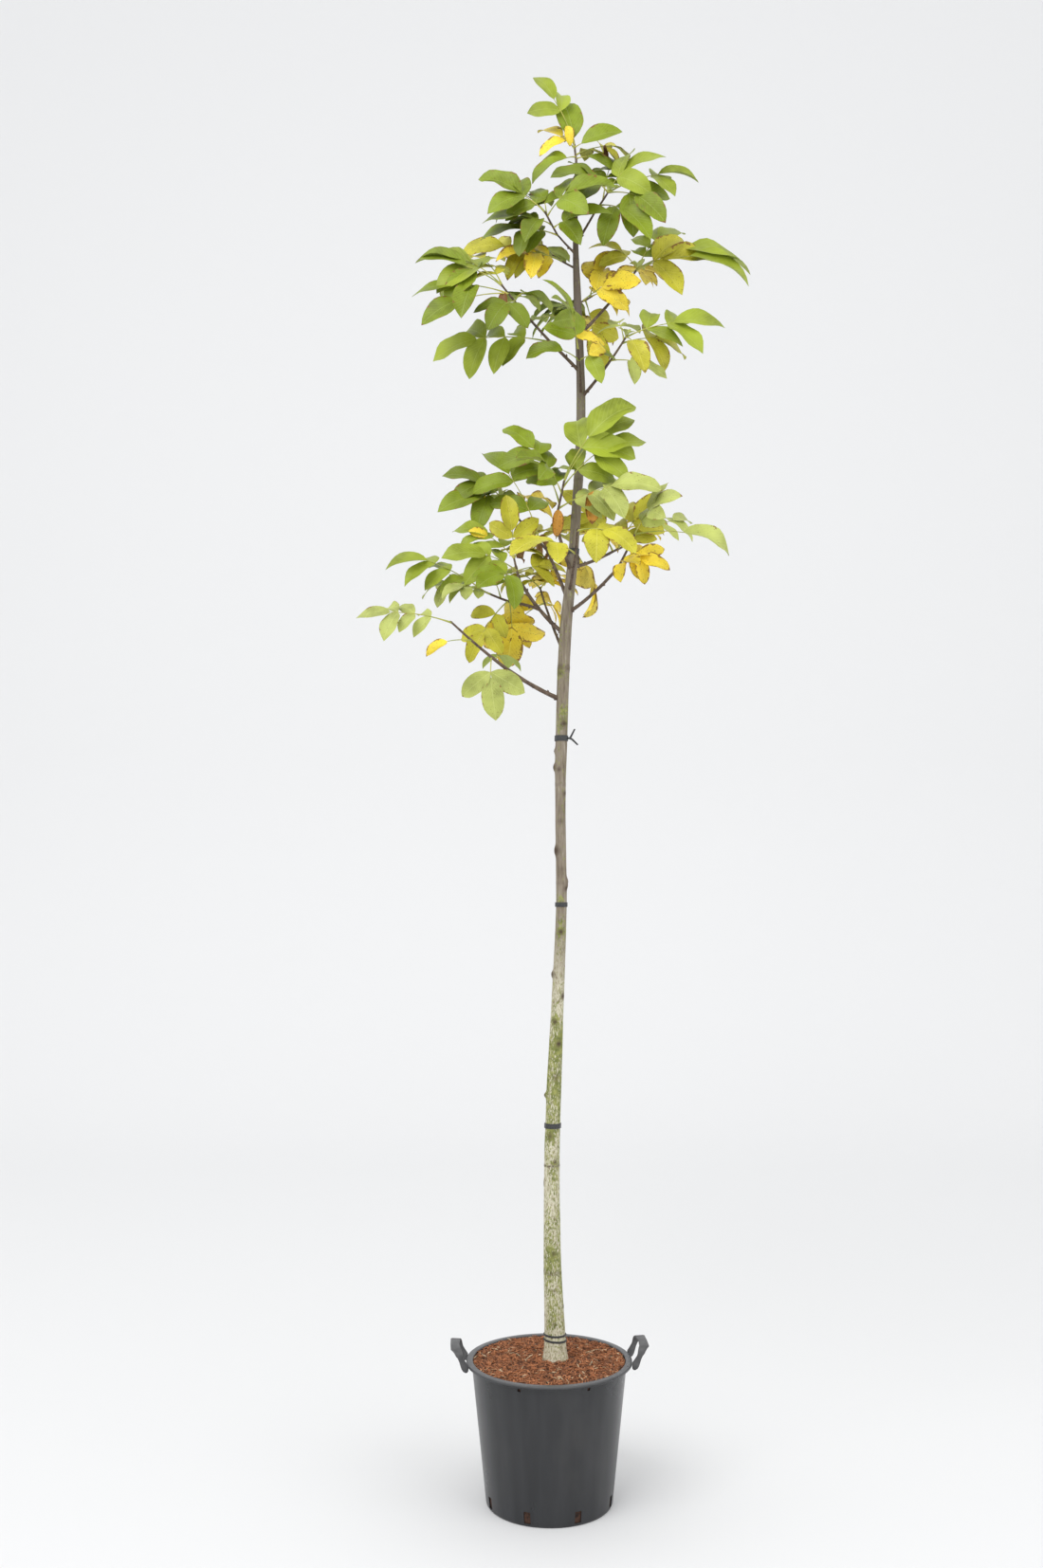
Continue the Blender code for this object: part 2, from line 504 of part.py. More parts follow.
def build_boughs(bark):
    """Every bough, cut 0.3 mm clear of what it leaves. Returns each one's route and radii."""
    limbs = {}
    for name, (parent, place, bearing, rise, length, root, tip, turn) in BOUGHS.items():
        if parent == "trunk":
            start, _ = trunk_at(place)
            cutter = add_object("cutter", *trunk_solid(GAP, place - CUT_BELOW, place + CUT_ABOVE))
        else:
            route, radii = limbs[parent]
            share = place * (len(route) - 1)
            start = route[int(share)].lerp(route[int(share) + 1], share % 1)
            cutter = add_object("cutter", *tube(route, [radius + GAP for radius in radii], BOUGH_SIDES))
        points = limb_route(start, bearing, rise, length, turn, BOUGH_RINGS)
        points.insert(1, points[0].lerp(points[1], COLLAR_LENGTH / (points[1] - points[0]).length))
        radii = [root + (tip - root) * (p - start).length / length for p in points]
        radii[0] *= BOUGH_COLLAR
        limb = add_object(name, *tube(points, radii, BOUGH_SIDES), bark)
        boolean(limb, "DIFFERENCE", [cutter])
        keep_main_body(limb)
        limbs[name] = (points, radii)
    return limbs


def blade_points(root, along, face, length, spare=0.0):
    """One blade's outline from one side of its root round the tip to the other, and its two crests."""
    across = along.cross(face).normalized()
    bend = math.radians(LEAFLET_BEND)

    def spine(share):
        turn = bend * share
        return root + length / bend * (math.sin(turn) * along - (1 - math.cos(turn)) * face)

    half = LEAFLET_WIDTH * length / 2 + spare
    left = [spine(share) - across * half * width for share, width in LEAFLET_STATIONS]
    right = [spine(share) + across * half * width for share, width in LEAFLET_STATIONS]
    thick = (LEAFLET_THICKNESS * length / 2 + spare) * face
    middle = spine(LEAFLET_CREST)
    return [*right, spine(1), *reversed(left)], middle + thick, middle - thick


def blade_solid(way, spare=0.0):
    """A blade on its own, closed at its root: what the clearance tests look at."""
    outline, upper, lower = blade_points(*way, spare)
    verts = [way[0], *outline, upper, lower]
    faces = []
    for i in range(6):
        faces += [(i, (i + 1) % 6, 6), ((i + 1) % 6, i, 7)]
    return verts, faces


def stalk_frame(route, share, light):
    """Point, heading and upper face of a leaf stalk at a share of its length."""
    last = len(route) - 1
    i = min(int(share * last), last - 1)
    along = (route[i + 1] - route[i]).normalized()
    face = (light - along * light.dot(along)).normalized()
    return route[i].lerp(route[i + 1], share * last - i), along, face


def compound_leaf(start, row, rng):
    """A leaf's route, light and pair shares, and for each leaflet the ways it may hang."""
    _, bearing, rise, reach, pairs, size, lean = row
    route = limb_route(start, bearing, rise, reach, -2 * STALK_SAG, STALK_RINGS)
    lean = math.radians(lean + rng.uniform(-LEAN_JITTER, LEAN_JITTER))
    light = Vector((0, -math.sin(lean), math.cos(lean)))
    first = FIRST_PAIR + PAIR_ROOM / max(pairs, 1)
    shares = [first + (LAST_PAIR - first) * k / max(pairs - 1, 1) for k in range(pairs)]
    blades = []
    for k, share in enumerate(shares):
        scale = BASAL_SHARE + (1 - BASAL_SHARE) * (k + 1) / pairs
        for side in (-1, 1):
            blades.append([turned_blade(*stalk_frame(route, share, light), side, size * scale, rng)
                           for _ in range(LEAFLET_TRIES)])
    blades.append([turned_blade(*stalk_frame(route, 1, light), 0, size * TERMINAL_SHARE, rng)
                   for _ in range(LEAFLET_TRIES)])
    return route, light, shares, blades


def turned_blade(point, along, face, side, length, rng):
    """One way a leaflet may hang from its stalk: side is -1 or 1, or 0 for the end leaflet."""
    spread = math.radians(side * LEAFLET_SPREAD + rng.uniform(-TURN_JITTER, TURN_JITTER))
    drop = math.radians(LEAFLET_DROP + rng.uniform(-TURN_JITTER, TURN_JITTER))
    length *= 1 + rng.uniform(-SIZE_JITTER, SIZE_JITTER)
    across = along.cross(face)
    out = math.cos(spread) * along + math.sin(spread) * across
    down = (math.cos(drop) * out - math.sin(drop) * face).normalized()
    normal = face + math.tan(math.radians(LEAFLET_LOUVRE)) * abs(side) * along
    normal = (normal - down * normal.dot(down)).normalized()
    return point, down, normal, length


def leaf_solid(route, light, shares, hung):
    """One closed solid: a three-sided stalk whose faces open into the leaflets that were hung."""
    reach = (route[-1] - route[0]).length
    half = LEAFLET_ROOT / reach
    places = [0.0] + [share + step for share in shares for step in (-half, half)] + [1.0]
    verts, faces = [], []
    for place in places:
        point, along, face = stalk_frame(route, place, light)
        radius = STALK_ROOT_RADIUS + (STALK_TIP_RADIUS - STALK_ROOT_RADIUS) * place
        across = along.cross(face)
        verts += [point + radius * (math.cos(turn) * face + math.sin(turn) * across)
                  for turn in STALK_CORNERS]
    last = 3 * (len(places) - 1)
    for ring in range(0, last, 3):
        pair, joint = divmod(ring // 3 - 1, 2)
        for side, (a, b) in ((1, (0, 1)), (0, (1, 2)), (-1, (2, 0))):
            low, high = (ring + a, ring + b), (ring + 3 + a, ring + 3 + b)
            if ring and joint == 0 and side and (pair, side) in hung:
                near, far = (low, high) if side == 1 else (low[::-1], high[::-1])
                faces += blade_faces(verts, hung[pair, side], near, far)
            else:
                faces.append((*low, *high[::-1]))
    faces.append((0, 1, 2))
    if len(shares) in hung:
        outline, upper, lower = blade_points(*hung[len(shares)])
        base = len(verts)
        verts += [*outline, upper, lower]
        chain = [last + 1, *range(base, base + 5), last + 2]
        for a, b in zip(chain, chain[1:]):
            faces += [(a, b, base + 5), (b, a, base + 6)]
        faces += [(last + 2, last, base + 5), (last, last + 1, base + 5), (last + 1, last + 2, base + 6)]
    else:
        faces.append((last, last + 1, last + 2))
    return verts, faces


def blade_faces(verts, way, near, far):
    """Faces of a blade that grows out of one face of the stalk, between a near and a far ring edge."""
    outline, upper, lower = blade_points(*way)
    across = way[1].cross(way[2])
    if across.dot(verts[far[0]] - verts[near[0]]) > 0:
        outline = outline[::-1]
    base = len(verts)
    verts += [*outline, upper, lower]
    points = list(range(base, base + 5))
    faces = []
    for top, bottom, crest in ((near[0], far[0], base + 5), (near[1], far[1], base + 6)):
        loop = [top, *points, bottom]
        faces += [(a, b, crest) for a, b in zip(loop, loop[1:] + loop[:1])]
    faces += [(near[0], near[1], points[0]), (far[0], far[1], points[-1])]
    return faces


def stem_of(parent, stem, limbs):
    """The route and radii of a mass's own stem, and whether the trunk has to be cut from its root."""
    if parent == "trunk":
        height, bearing, rise, length = stem
        start, _ = trunk_at(height)
        route = limb_route(start, bearing, rise, length, STEM_TURN, STEM_RINGS)
        return route, [STEM_ROOT_RADIUS] + [STEM_TIP_RADIUS] * (STEM_RINGS - 1), True
    if parent == "trunk tip":
        start, root = trunk_at(TRUNK_ROUTE[-1][0])
        first = UP
    else:
        points, radii = limbs[parent]
        start, root = points[-1], radii[-1]
        first = (points[-1] - points[-2]).normalized()
    bearing, rise, length = stem
    start = start + first * GAP
    knee = start + first * STEM_KNEE
    route = [start] + limb_route(knee, bearing, rise, length - STEM_KNEE, STEM_TURN, STEM_RINGS)
    return route, [root + (STEM_TIP_RADIUS - root) * i / (len(route) - 1) for i in range(len(route))], False


def merged(solids):
    """One search tree over several (verts, faces) solids."""
    verts, faces = [], []
    for more_verts, more_faces in solids:
        faces += [tuple(i + len(verts) for i in face) for face in more_faces]
        verts += list(more_verts)
    return BVHTree.FromPolygons(verts, faces)


def clear_of(solid, trees):
    """Whether a solid touches none of the search trees."""
    tree = merged([solid])
    return not any(other.overlap(tree) for other in trees)


def clipped(way):
    """A leaflet's way of hanging, short of its root, where neighbours may meet in the stalk."""
    root, along, face, length = way
    return root + along * length * ROOT_SHARE, along, face, length * (1 - ROOT_SHARE)


def solid_of(made):
    """An object's vertices and faces, as a (verts, faces) solid."""
    return [v.co.copy() for v in made.data.vertices], [tuple(p.vertices) for p in made.data.polygons]


def build_foliage(limbs, green, yellow):
    """Every mass: a stem, stalks that leave it, and leaflets, joined into one body in its own space."""
    taken = [merged([solid_of(made)]) for made in bpy.data.objects if made.type == "MESH"]
    stems = {name: stem_of(parent, stem, limbs) for name, (parent, stem, _) in FOLIAGE.items()}
    stem_solids = {name: tube(route, radii, STEM_SIDES) for name, (route, radii, _) in stems.items()}
    for number, (name, (_, stem, leaves)) in enumerate(FOLIAGE.items()):
        rng = random.Random(SEED + number)
        route, _, on_trunk = stems[name]
        others = taken + [merged([solid]) for other, solid in stem_solids.items() if other != name]
        middle = route[len(route) // 2]
        solids, blades_hung = [stem_solids[name]], []
        for row in leaves:
            place = row[0] * (len(route) - 1)
            i = min(int(place), len(route) - 2)
            start = route[i].lerp(route[i + 1], place - i)
            leaf_route, light, shares, blades = compound_leaf(start, row, rng)
            stalk = tube(leaf_route, [STALK_ROOT_RADIUS + CLEARANCE] * len(leaf_route), 3)
            if not clear_of(stalk, others):
                continue
            hung = {}
            for number_here, ways in enumerate(blades):
                fitting = [way for way in ways if clear_of(blade_solid(way, CLEARANCE), others)
                           and (way[0] + way[1] * way[3] - middle).length < SPACE_REACH]
                apart = [way for way in fitting if clear_of(blade_solid(clipped(way)), blades_hung)]
                if not fitting:
                    continue
                way = (apart or fitting)[0]
                pair, side = divmod(number_here, 2)
                hung[pair if pair == len(shares) else (pair, 2 * side - 1)] = way
                blades_hung.append(merged([blade_solid(way)]))
            solids.append(leaf_solid(leaf_route, light, shares, hung))
        finish = yellow if name in YELLOW_MASSES else green
        mass = add_object(name, *solids[0], finish)
        if on_trunk:
            cutter = trunk_solid(GAP, stem[0] - CUT_BELOW, stem[0] + CUT_ABOVE)
            boolean(mass, "DIFFERENCE", [add_object("cutter", *cutter)])
        stem_mesh = mass.data
        for solver in ("EXACT", "MANIFOLD"):
            mass.data = stem_mesh
            boolean(mass, "UNION", [add_object("piece", *solid) for solid in solids[1:]], solver)
            if keep_main_body(mass):
                break
        taken.append(merged([solid_of(mass)]))
        mass.data.materials.clear()
        mass.data.materials.append(finish)


def main():
    """Build the pot, the soil, the trunk, the boughs and the foliage, in that order."""
    for old in list(bpy.data.objects):
        bpy.data.objects.remove(old)
    plastic = material("pot_plastic", (0.045, 0.047, 0.050), 0.42)
    build_pot(plastic)
    for name, bearing in (("handle_right", HANDLE_TURN), ("handle_left", 180 + HANDLE_TURN)):
        build_handle(name, bearing, plastic)
    build_soil()
    bark = material("bark", (0.20, 0.16, 0.12), 0.85)
    add_object("trunk", *trunk_solid(), bark, smooth_angle=40)
    build_ties(material("tie_rubber", (0.02, 0.02, 0.02), 0.7))
    limbs = build_boughs(material("bough_bark", (0.07, 0.045, 0.03), 0.7))
    build_foliage(limbs, material("leaf_green", TINTS["green"], 0.5),
                  material("leaf_yellow", TINTS["yellow"], 0.5))


main()
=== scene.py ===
"""A young common walnut tree in its nursery pot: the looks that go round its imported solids, in metres."""

import math
import random

import bmesh
import bpy
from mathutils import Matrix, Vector, kdtree, noise


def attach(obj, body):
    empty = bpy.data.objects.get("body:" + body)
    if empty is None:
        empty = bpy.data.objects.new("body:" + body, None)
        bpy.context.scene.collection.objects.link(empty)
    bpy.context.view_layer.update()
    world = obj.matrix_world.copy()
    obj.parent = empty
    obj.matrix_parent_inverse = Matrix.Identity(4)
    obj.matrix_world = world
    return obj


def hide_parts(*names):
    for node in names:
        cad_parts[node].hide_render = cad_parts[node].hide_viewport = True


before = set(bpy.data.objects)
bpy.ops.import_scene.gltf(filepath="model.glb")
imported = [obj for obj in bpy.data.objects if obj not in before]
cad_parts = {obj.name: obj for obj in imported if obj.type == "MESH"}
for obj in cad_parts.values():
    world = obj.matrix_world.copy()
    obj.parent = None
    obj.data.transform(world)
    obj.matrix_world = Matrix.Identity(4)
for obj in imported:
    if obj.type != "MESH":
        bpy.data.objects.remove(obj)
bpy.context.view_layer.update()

# The camera stands in front of the plant at chest height and looks slightly up, as the photograph does.
EYE = Vector((-0.0702, -3.774, 1.555))
EYE_PITCH = 3.92
LENS = 33.28
eye = bpy.data.cameras.new("eye")
eye.lens = LENS
eye.sensor_width = 36
eye.clip_end = 60
camera = bpy.data.objects.new("eye", eye)
camera.location = EYE
camera.rotation_euler = (math.radians(90 + EYE_PITCH), 0, 0)
bpy.context.scene.collection.objects.link(camera)
bpy.context.scene.camera = camera
bpy.context.scene.view_settings.view_transform = "Standard"

# A plain pale studio: a floor that sweeps up behind the plant, two large soft lights and a pale sky.
FLOOR_FRONT, FLOOR_BACK, FLOOR_HALF, FLOOR_SWEEP, FLOOR_TOP = -9.0, 4.5, 12.0, 2.5, 12.0
SKY_COLOUR, SKY_STRENGTH = (0.975, 0.985, 1.0, 1), 0.96
LIGHT_AIM = Vector((0, 0, 1.9))
LIGHTS = {"key": ((-2.4, -3.4, 5.8), 4.0, 172), "fill": ((3.6, -2.8, 3.2), 4.0, 58)}
studio = bpy.data.worlds.new("studio")
studio.use_nodes = True
studio.node_tree.nodes["Background"].inputs["Color"].default_value = SKY_COLOUR
studio.node_tree.nodes["Background"].inputs["Strength"].default_value = SKY_STRENGTH
bpy.context.scene.world = studio
for name, (place, size, power) in LIGHTS.items():
    lamp = bpy.data.lights.new(name, "AREA")
    lamp.size, lamp.energy = size, power
    light = bpy.data.objects.new(name, lamp)
    light.location = place
    light.rotation_euler = (LIGHT_AIM - Vector(place)).to_track_quat("-Z", "Y").to_euler()
    bpy.context.scene.collection.objects.link(light)


def new_object(name, verts, faces, materials, sharp=None):
    """A smooth mesh object at the origin, linked to the scene, with its edges sharp past an angle."""
    mesh = bpy.data.meshes.new(name)
    mesh.from_pydata([tuple(v) for v in verts], [], faces)
    for finish in materials:
        mesh.materials.append(finish)
    mesh.shade_smooth()
    if sharp:
        mesh.set_sharp_from_angle(angle=math.radians(sharp))
    made = bpy.data.objects.new(name, mesh)
    bpy.context.scene.collection.objects.link(made)
    return made


class Finish:
    """A node material round a Principled shader, with short ways to add noise, ramps, mixes and relief."""

    def __init__(self, name, colour, roughness):
        self.material = bpy.data.materials.new(name)
        self.material.use_nodes = True
        self.tree = self.material.node_tree
        self.shader = self.tree.nodes["Principled BSDF"]
        self.shader.inputs["Base Color"].default_value = (*colour, 1)
        self.shader.inputs["Roughness"].default_value = roughness

    def join(self, source, target):
        """Link a socket, or set a plain value where one is given."""
        if isinstance(source, (int, float)):
            target.default_value = source
        elif isinstance(source, tuple):
            target.default_value = (*source, 1)
        else:
            self.tree.links.new(source, target)

    def place(self, stretch=(1, 1, 1)):
        """The surface's own coordinates, squeezed along each axis."""
        coords = self.tree.nodes.new("ShaderNodeTexCoord")
        mapping = self.tree.nodes.new("ShaderNodeMapping")
        mapping.inputs["Scale"].default_value = stretch
        self.tree.links.new(coords.outputs["Object"], mapping.inputs["Vector"])
        return mapping.outputs["Vector"]

    def cloud(self, scale, stretch=(1, 1, 1), detail=3, roughness=0.5):
        """Soft noise."""
        node = self.tree.nodes.new("ShaderNodeTexNoise")
        node.inputs["Scale"].default_value = scale
        node.inputs["Detail"].default_value = detail
        node.inputs["Roughness"].default_value = roughness
        self.tree.links.new(self.place(stretch), node.inputs["Vector"])
        return node.outputs["Fac"]

    def value(self, name):
        """A named value that the mesh carries at each vertex."""
        node = self.tree.nodes.new("ShaderNodeAttribute")
        node.attribute_name = name
        return node.outputs["Fac"]

    def ramp(self, source, stops):
        """Turn a number into a colour, or into a grey where the stops are numbers."""
        node = self.tree.nodes.new("ShaderNodeValToRGB")
        while len(node.color_ramp.elements) < len(stops):
            node.color_ramp.elements.new(0.5)
        for element, (at, colour) in zip(node.color_ramp.elements, stops):
            element.position = at
            element.color = (*colour, 1) if isinstance(colour, tuple) else (colour, colour, colour, 1)
        self.tree.links.new(source, node.inputs["Fac"])
        return node.outputs["Color"]

    def mix(self, share, first, second):
        """Mix two colours."""
        node = self.tree.nodes.new("ShaderNodeMix")
        node.data_type = "RGBA"
        self.join(share, node.inputs["Factor"])
        self.join(first, node.inputs[6])
        self.join(second, node.inputs[7])
        return node.outputs[2]

    def maths(self, operation, first, second=None, clamp=False):
        """One step of arithmetic."""
        node = self.tree.nodes.new("ShaderNodeMath")
        node.operation, node.use_clamp = operation, clamp
        self.join(first, node.inputs[0])
        if second is not None:
            self.join(second, node.inputs[1])
        return node.outputs[0]

    def paint(self, colour):
        """Give the shader its colour."""
        self.tree.links.new(colour, self.shader.inputs["Base Color"])

    def relief(self, height, distance, strength=1.0):
        """Raise fine relief from a height socket."""
        bump = self.tree.nodes.new("ShaderNodeBump")
        bump.inputs["Distance"].default_value = distance
        bump.inputs["Strength"].default_value = strength
        self.tree.links.new(height, bump.inputs["Height"])
        self.tree.links.new(bump.outputs["Normal"], self.shader.inputs["Normal"])


studio_grey = Finish("studio_floor", (0.86, 0.86, 0.86), 0.9)
depth = studio_grey.tree.nodes.new("ShaderNodeSeparateXYZ")
studio_grey.tree.links.new(studio_grey.place(), depth.inputs[0])
far = studio_grey.maths("MULTIPLY", depth.outputs["Y"], 1 / FLOOR_BACK, True)
studio_grey.paint(studio_grey.ramp(far, ((0.0, 0.765), (1.0, 0.84))))
sweep = [(FLOOR_BACK + FLOOR_SWEEP * math.sin(a), FLOOR_SWEEP * (1 - math.cos(a)))
         for a in [math.pi / 2 * i / 12 for i in range(13)]]
sweep = [(FLOOR_FRONT, 0.0), *sweep, (FLOOR_BACK + FLOOR_SWEEP, FLOOR_TOP)]
floor_verts = [(x, y, z) for y, z in sweep for x in (-FLOOR_HALF, FLOOR_HALF)]
floor_faces = [(2 * i, 2 * i + 1, 2 * i + 3, 2 * i + 2) for i in range(len(sweep) - 1)]
floor = new_object("studio_floor", floor_verts, floor_faces, [studio_grey.material])

# The pot is one moulding of dark charcoal plastic with a satin skin: a tapered wall, a ring and an overhanging lip.
# It has eight drain slots round the foot, seven small lift notches under the ring and a label hole in the lip.
UP = Vector((0, 0, 1))
GAP = 0.0003
POT_WALL = 0.0026
POT_SIDES = 144
# Height and radius of each corner of the wall's section, and how far its rounding reaches
POT_SECTION = ((0.0, 0.1570, 0.0012), (0.0050, 0.1600, 0.002), (0.3370, 0.1958, 0.0006), (0.3375, 0.2000, 0.0010),
               (0.3430, 0.2010, 0.0010), (0.3440, 0.2104, 0.0010), (0.3502, 0.2107, 0.0030), (0.3507, 0.1950, 0.0020),
               (0.3488, 0.1933, 0.0012), (0.0050, 0.1574, 0.002), (POT_WALL, 0.1550, 0.001))
CORNER_STEPS = 6
SLOT_COUNT, SLOT_BEARING, SLOT_WIDTH, SLOT_BOTTOM, SLOT_TOP = 8, 114.5, 0.017, 0.0075, 0.036
NOTCH_COUNT, NOTCH_TURN, NOTCH_WIDTH, NOTCH_BOTTOM, NOTCH_TOP = 7, 247, 0.008, 0.3290, 0.3376
HOLE_BEARING, HOLE_RADIUS, HOLE_OUT = -17, 0.0021, 0.2045
# How closely a face must look along the wall's own direction to be shaded as part of it
WALL_LIKENESS = 0.995
# Height above which the rim and lip are painted lighter, a painted highlight for the sky's reflection on the rounded
# rim, and how sharply that sets in
RIM_PAINTED_HIGHLIGHT = (0.3440, 200)


def heading(bearing, rise):
    """The unit vector at a bearing and a rise, in degrees."""
    turn, lift = math.radians(bearing), math.radians(rise)
    return Vector((math.cos(lift) * math.cos(turn), math.cos(lift) * math.sin(turn), math.sin(lift)))


def ring_faces(rings, sides):
    """Faces of a closed tube whose rings follow one another, with a cap at each end."""
    faces = [tuple(reversed(range(sides)))]
    for i in range(rings - 1):
        for k in range(sides):
            a, b = i * sides + k, i * sides + (k + 1) % sides
            faces.append((a, b, b + sides, a + sides))
    faces.append(tuple(range((rings - 1) * sides, rings * sides)))
    return faces


def rounded(section, steps):
    """Ease each corner of a (height, radius, rounding) section with a short curve."""
    points = []
    for i, (height, radius, reach) in enumerate(section):
        here = Vector((height, radius))
        before = Vector(section[i - 1][:2]) if i else Vector((height, 0))
        after = Vector(section[i + 1][:2]) if i + 1 < len(section) else Vector((height, 0))
        start = here + (before - here).normalized() * reach
        end = here + (after - here).normalized() * reach
        for k in range(steps + 1):
            t = k / steps
            points.append(start * (1 - t)**2 + here * 2 * t * (1 - t) + end * t**2)
    return points


def turned(section, sides):
    """A closed round solid from (height, radius) pairs, from the lower axis end to the upper one."""
    verts = [section[0][0] * UP]
    for height, radius in section:
        verts += [radius * heading(360 * k / sides, 0) + height * UP for k in range(sides)]
    verts.append(section[-1][0] * UP)
    faces, last = [], len(verts) - 1
    for k in range(sides):
        after = (k + 1) % sides
        faces.append((0, 1 + after, 1 + k))
        for i in range(len(section) - 1):
            low, high = 1 + i * sides, 1 + (i + 1) * sides
            faces.append((low + k, low + after, high + after, high + k))
        faces.append((last - sides + k, last - sides + after, last))
    return verts, faces


def block(bearing, inner, outer, width, bottom, top):
    """A block that stands across the pot's wall at a bearing."""
    out, across = heading(bearing, 0), heading(bearing + 90, 0)
    verts = [out * radius + across * side * width / 2 + UP * height for height in (bottom, top)
             for radius, side in ((inner, -1), (outer, -1), (outer, 1), (inner, 1))]
    return new_object("cutter", verts, ring_faces(2, 4), [])


def cut(target, cutters):
    """Cut the cutters out of a piece, and remove them."""
    group = bpy.data.collections.new("cutters")
    bpy.context.scene.collection.children.link(group)
    for cutter in cutters:
        bpy.context.scene.collection.objects.unlink(cutter)
        group.objects.link(cutter)
    modifier = target.modifiers.new("cut", "BOOLEAN")
    modifier.operation, modifier.operand_type, modifier.collection = "DIFFERENCE", "COLLECTION", group
    result = bpy.data.meshes.new_from_object(target.evaluated_get(bpy.context.evaluated_depsgraph_get()))
    target.modifiers.remove(modifier)
    target.data = result
    for cutter in cutters:
        bpy.data.objects.remove(cutter)
    bpy.data.collections.remove(group)


plastic = Finish("charcoal_plastic", (0.020, 0.021, 0.023), 0.32)
streaks = plastic.cloud(26, (1, 1, 0.06), 2)
dust = plastic.cloud(7, (1, 1, 0.6), 5)
tone = plastic.ramp(streaks, ((0.35, (0.015, 0.016, 0.018)), (0.65, (0.025, 0.026, 0.029))))
tone = plastic.mix(plastic.ramp(dust, ((0.55, 0.0), (0.8, 0.30))), tone, (0.070, 0.067, 0.063))
height = plastic.tree.nodes.new("ShaderNodeSeparateXYZ")
plastic.tree.links.new(plastic.place(), height.inputs[0])
# Above that height the plastic is painted a lighter grey, mottled by the dust cloud: a painted highlight for the sheen
# on the rounded rim.
rim = plastic.maths("MULTIPLY", plastic.maths("SUBTRACT", height.outputs["Z"], RIM_PAINTED_HIGHLIGHT[0]), RIM_PAINTED_HIGHLIGHT[1], True)
plastic.paint(plastic.mix(rim, tone, plastic.ramp(dust, ((0.35, (0.050, 0.051, 0.054)), (0.70, (0.088, 0.088, 0.089))))))
plastic.join(plastic.ramp(dust, ((0.35, 0.27), (0.75, 0.42))), plastic.shader.inputs["Roughness"])
plastic.relief(plastic.cloud(900, detail=2), 0.0002, 0.35)
pot = new_object("nursery_pot", *turned(rounded(POT_SECTION, CORNER_STEPS), POT_SIDES), [plastic.material])
cutters = [block(SLOT_BEARING + 360 * i / SLOT_COUNT, 0.147, 0.180, SLOT_WIDTH, SLOT_BOTTOM, SLOT_TOP)
           for i in range(SLOT_COUNT)]
cutters += [block(NOTCH_TURN + 360 * i / NOTCH_COUNT, 0.1905, 0.215, NOTCH_WIDTH, NOTCH_BOTTOM, NOTCH_TOP)
            for i in range(NOTCH_COUNT)]
hole = [HOLE_OUT * heading(HOLE_BEARING, 0) + HOLE_RADIUS * heading(45 * k, 0) + z * UP for z in (0.340, 0.356)
        for k in range(8)]
cutters.append(new_object("cutter", hole, ring_faces(2, 8), []))
cut(pot, cutters)
pot.data.shade_smooth()
pot.data.set_sharp_from_angle(angle=math.radians(32))
(foot, foot_radius), (ring, ring_radius) = POT_SECTION[1][:2], POT_SECTION[2][:2]
flare = math.degrees(math.atan((ring_radius - foot_radius) / (ring - foot)))
skin = []
for face in pot.data.polygons:
    for corner in face.loop_indices:
        spot = pot.data.vertices[pot.data.loops[corner].vertex_index].co
        wall = heading(math.degrees(math.atan2(spot.y, spot.x)), -flare)
        plain_wall = foot < spot.z < ring and face.normal.dot(wall) > WALL_LIKENESS
        skin.append(wall if plain_wall else pot.data.corner_normals[corner].vector.copy())
pot.data.normals_split_custom_set(skin)
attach(pot, "root")
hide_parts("pot")

# Two strap handles of the same plastic are clipped over the lip. Each is a flat band bent into a loop, waisted in
# its legs and widest at its corners, that stands up and leans outwards.
LIP_RADIUS = 0.2107
HANDLE_TURN = 3
HANDLE_SPAN = 0.048
HANDLE_TOP = 0.390
HANDLE_CORNER = 0.014
HANDLE_CORNER_STEPS = 5
HANDLE_THICKNESS = 0.005
# Sections of a leg from its lug up to its corner: height, and the radius of the inner and the outer edge
HANDLE_LEG = ((0.3345, 0.2145, 0.2195), (0.3385, 0.2118, 0.2255), (0.3445, 0.2111, 0.2290),
              (0.3520, 0.2111, 0.2315), (0.3620, 0.2185, 0.2345), (0.3705, 0.2240, 0.2385))
# Inner and outer edge where a corner starts, where it ends and in the middle of the grip
HANDLE_CORNER_LOW, HANDLE_CORNER_HIGH, HANDLE_GRIP = (0.2255, 0.2430), (0.2285, 0.2530), (0.2285, 0.2505)
HANDLE_BEVEL = 0.0012


def strap(bearing):
    """The rings of one handle's strap, from one lug over the grip to the other."""
    leg = [(HANDLE_SPAN, *row) for row in HANDLE_LEG]
    for step in range(HANDLE_CORNER_STEPS + 1):
        share = step / HANDLE_CORNER_STEPS
        turn = math.radians(90 * share)
        edges = [low + (high - low) * share for low, high in zip(HANDLE_CORNER_LOW, HANDLE_CORNER_HIGH)]
        leg.append((HANDLE_SPAN - HANDLE_CORNER * (1 - math.cos(turn)),
                    HANDLE_TOP - HANDLE_CORNER * (1 - math.sin(turn)), *edges))
    route = [(-along, *rest) for along, *rest in leg] + [(0.0, HANDLE_TOP, *HANDLE_GRIP)] + leg[::-1]
    rings = []
    for i, (along, height, inner, outer) in enumerate(route):
        here = Vector((along, height))
        ahead = Vector(route[min(i + 1, len(route) - 1)][:2]) - here
        behind = here - Vector(route[max(i - 1, 0)][:2])
        forward = (ahead.normalized() + behind.normalized()).normalized()
        normal = Vector((-forward.y, forward.x)) * HANDLE_THICKNESS / 2
        for edge, radius in ((-1, inner), (1, inner), (1, outer), (-1, outer)):
            turn = bearing + math.degrees((along + edge * normal.x) / LIP_RADIUS)
            rings.append(radius * heading(turn, 0) + (height + edge * normal.y) * UP)
    return rings, ring_faces(len(route), 4)


def outward(mesh):
    """Turn every face of a closed mesh outwards."""
    shell = bmesh.new()
    shell.from_mesh(mesh)
    bmesh.ops.recalc_face_normals(shell, faces=shell.faces)
    shell.to_mesh(mesh)
    shell.free()


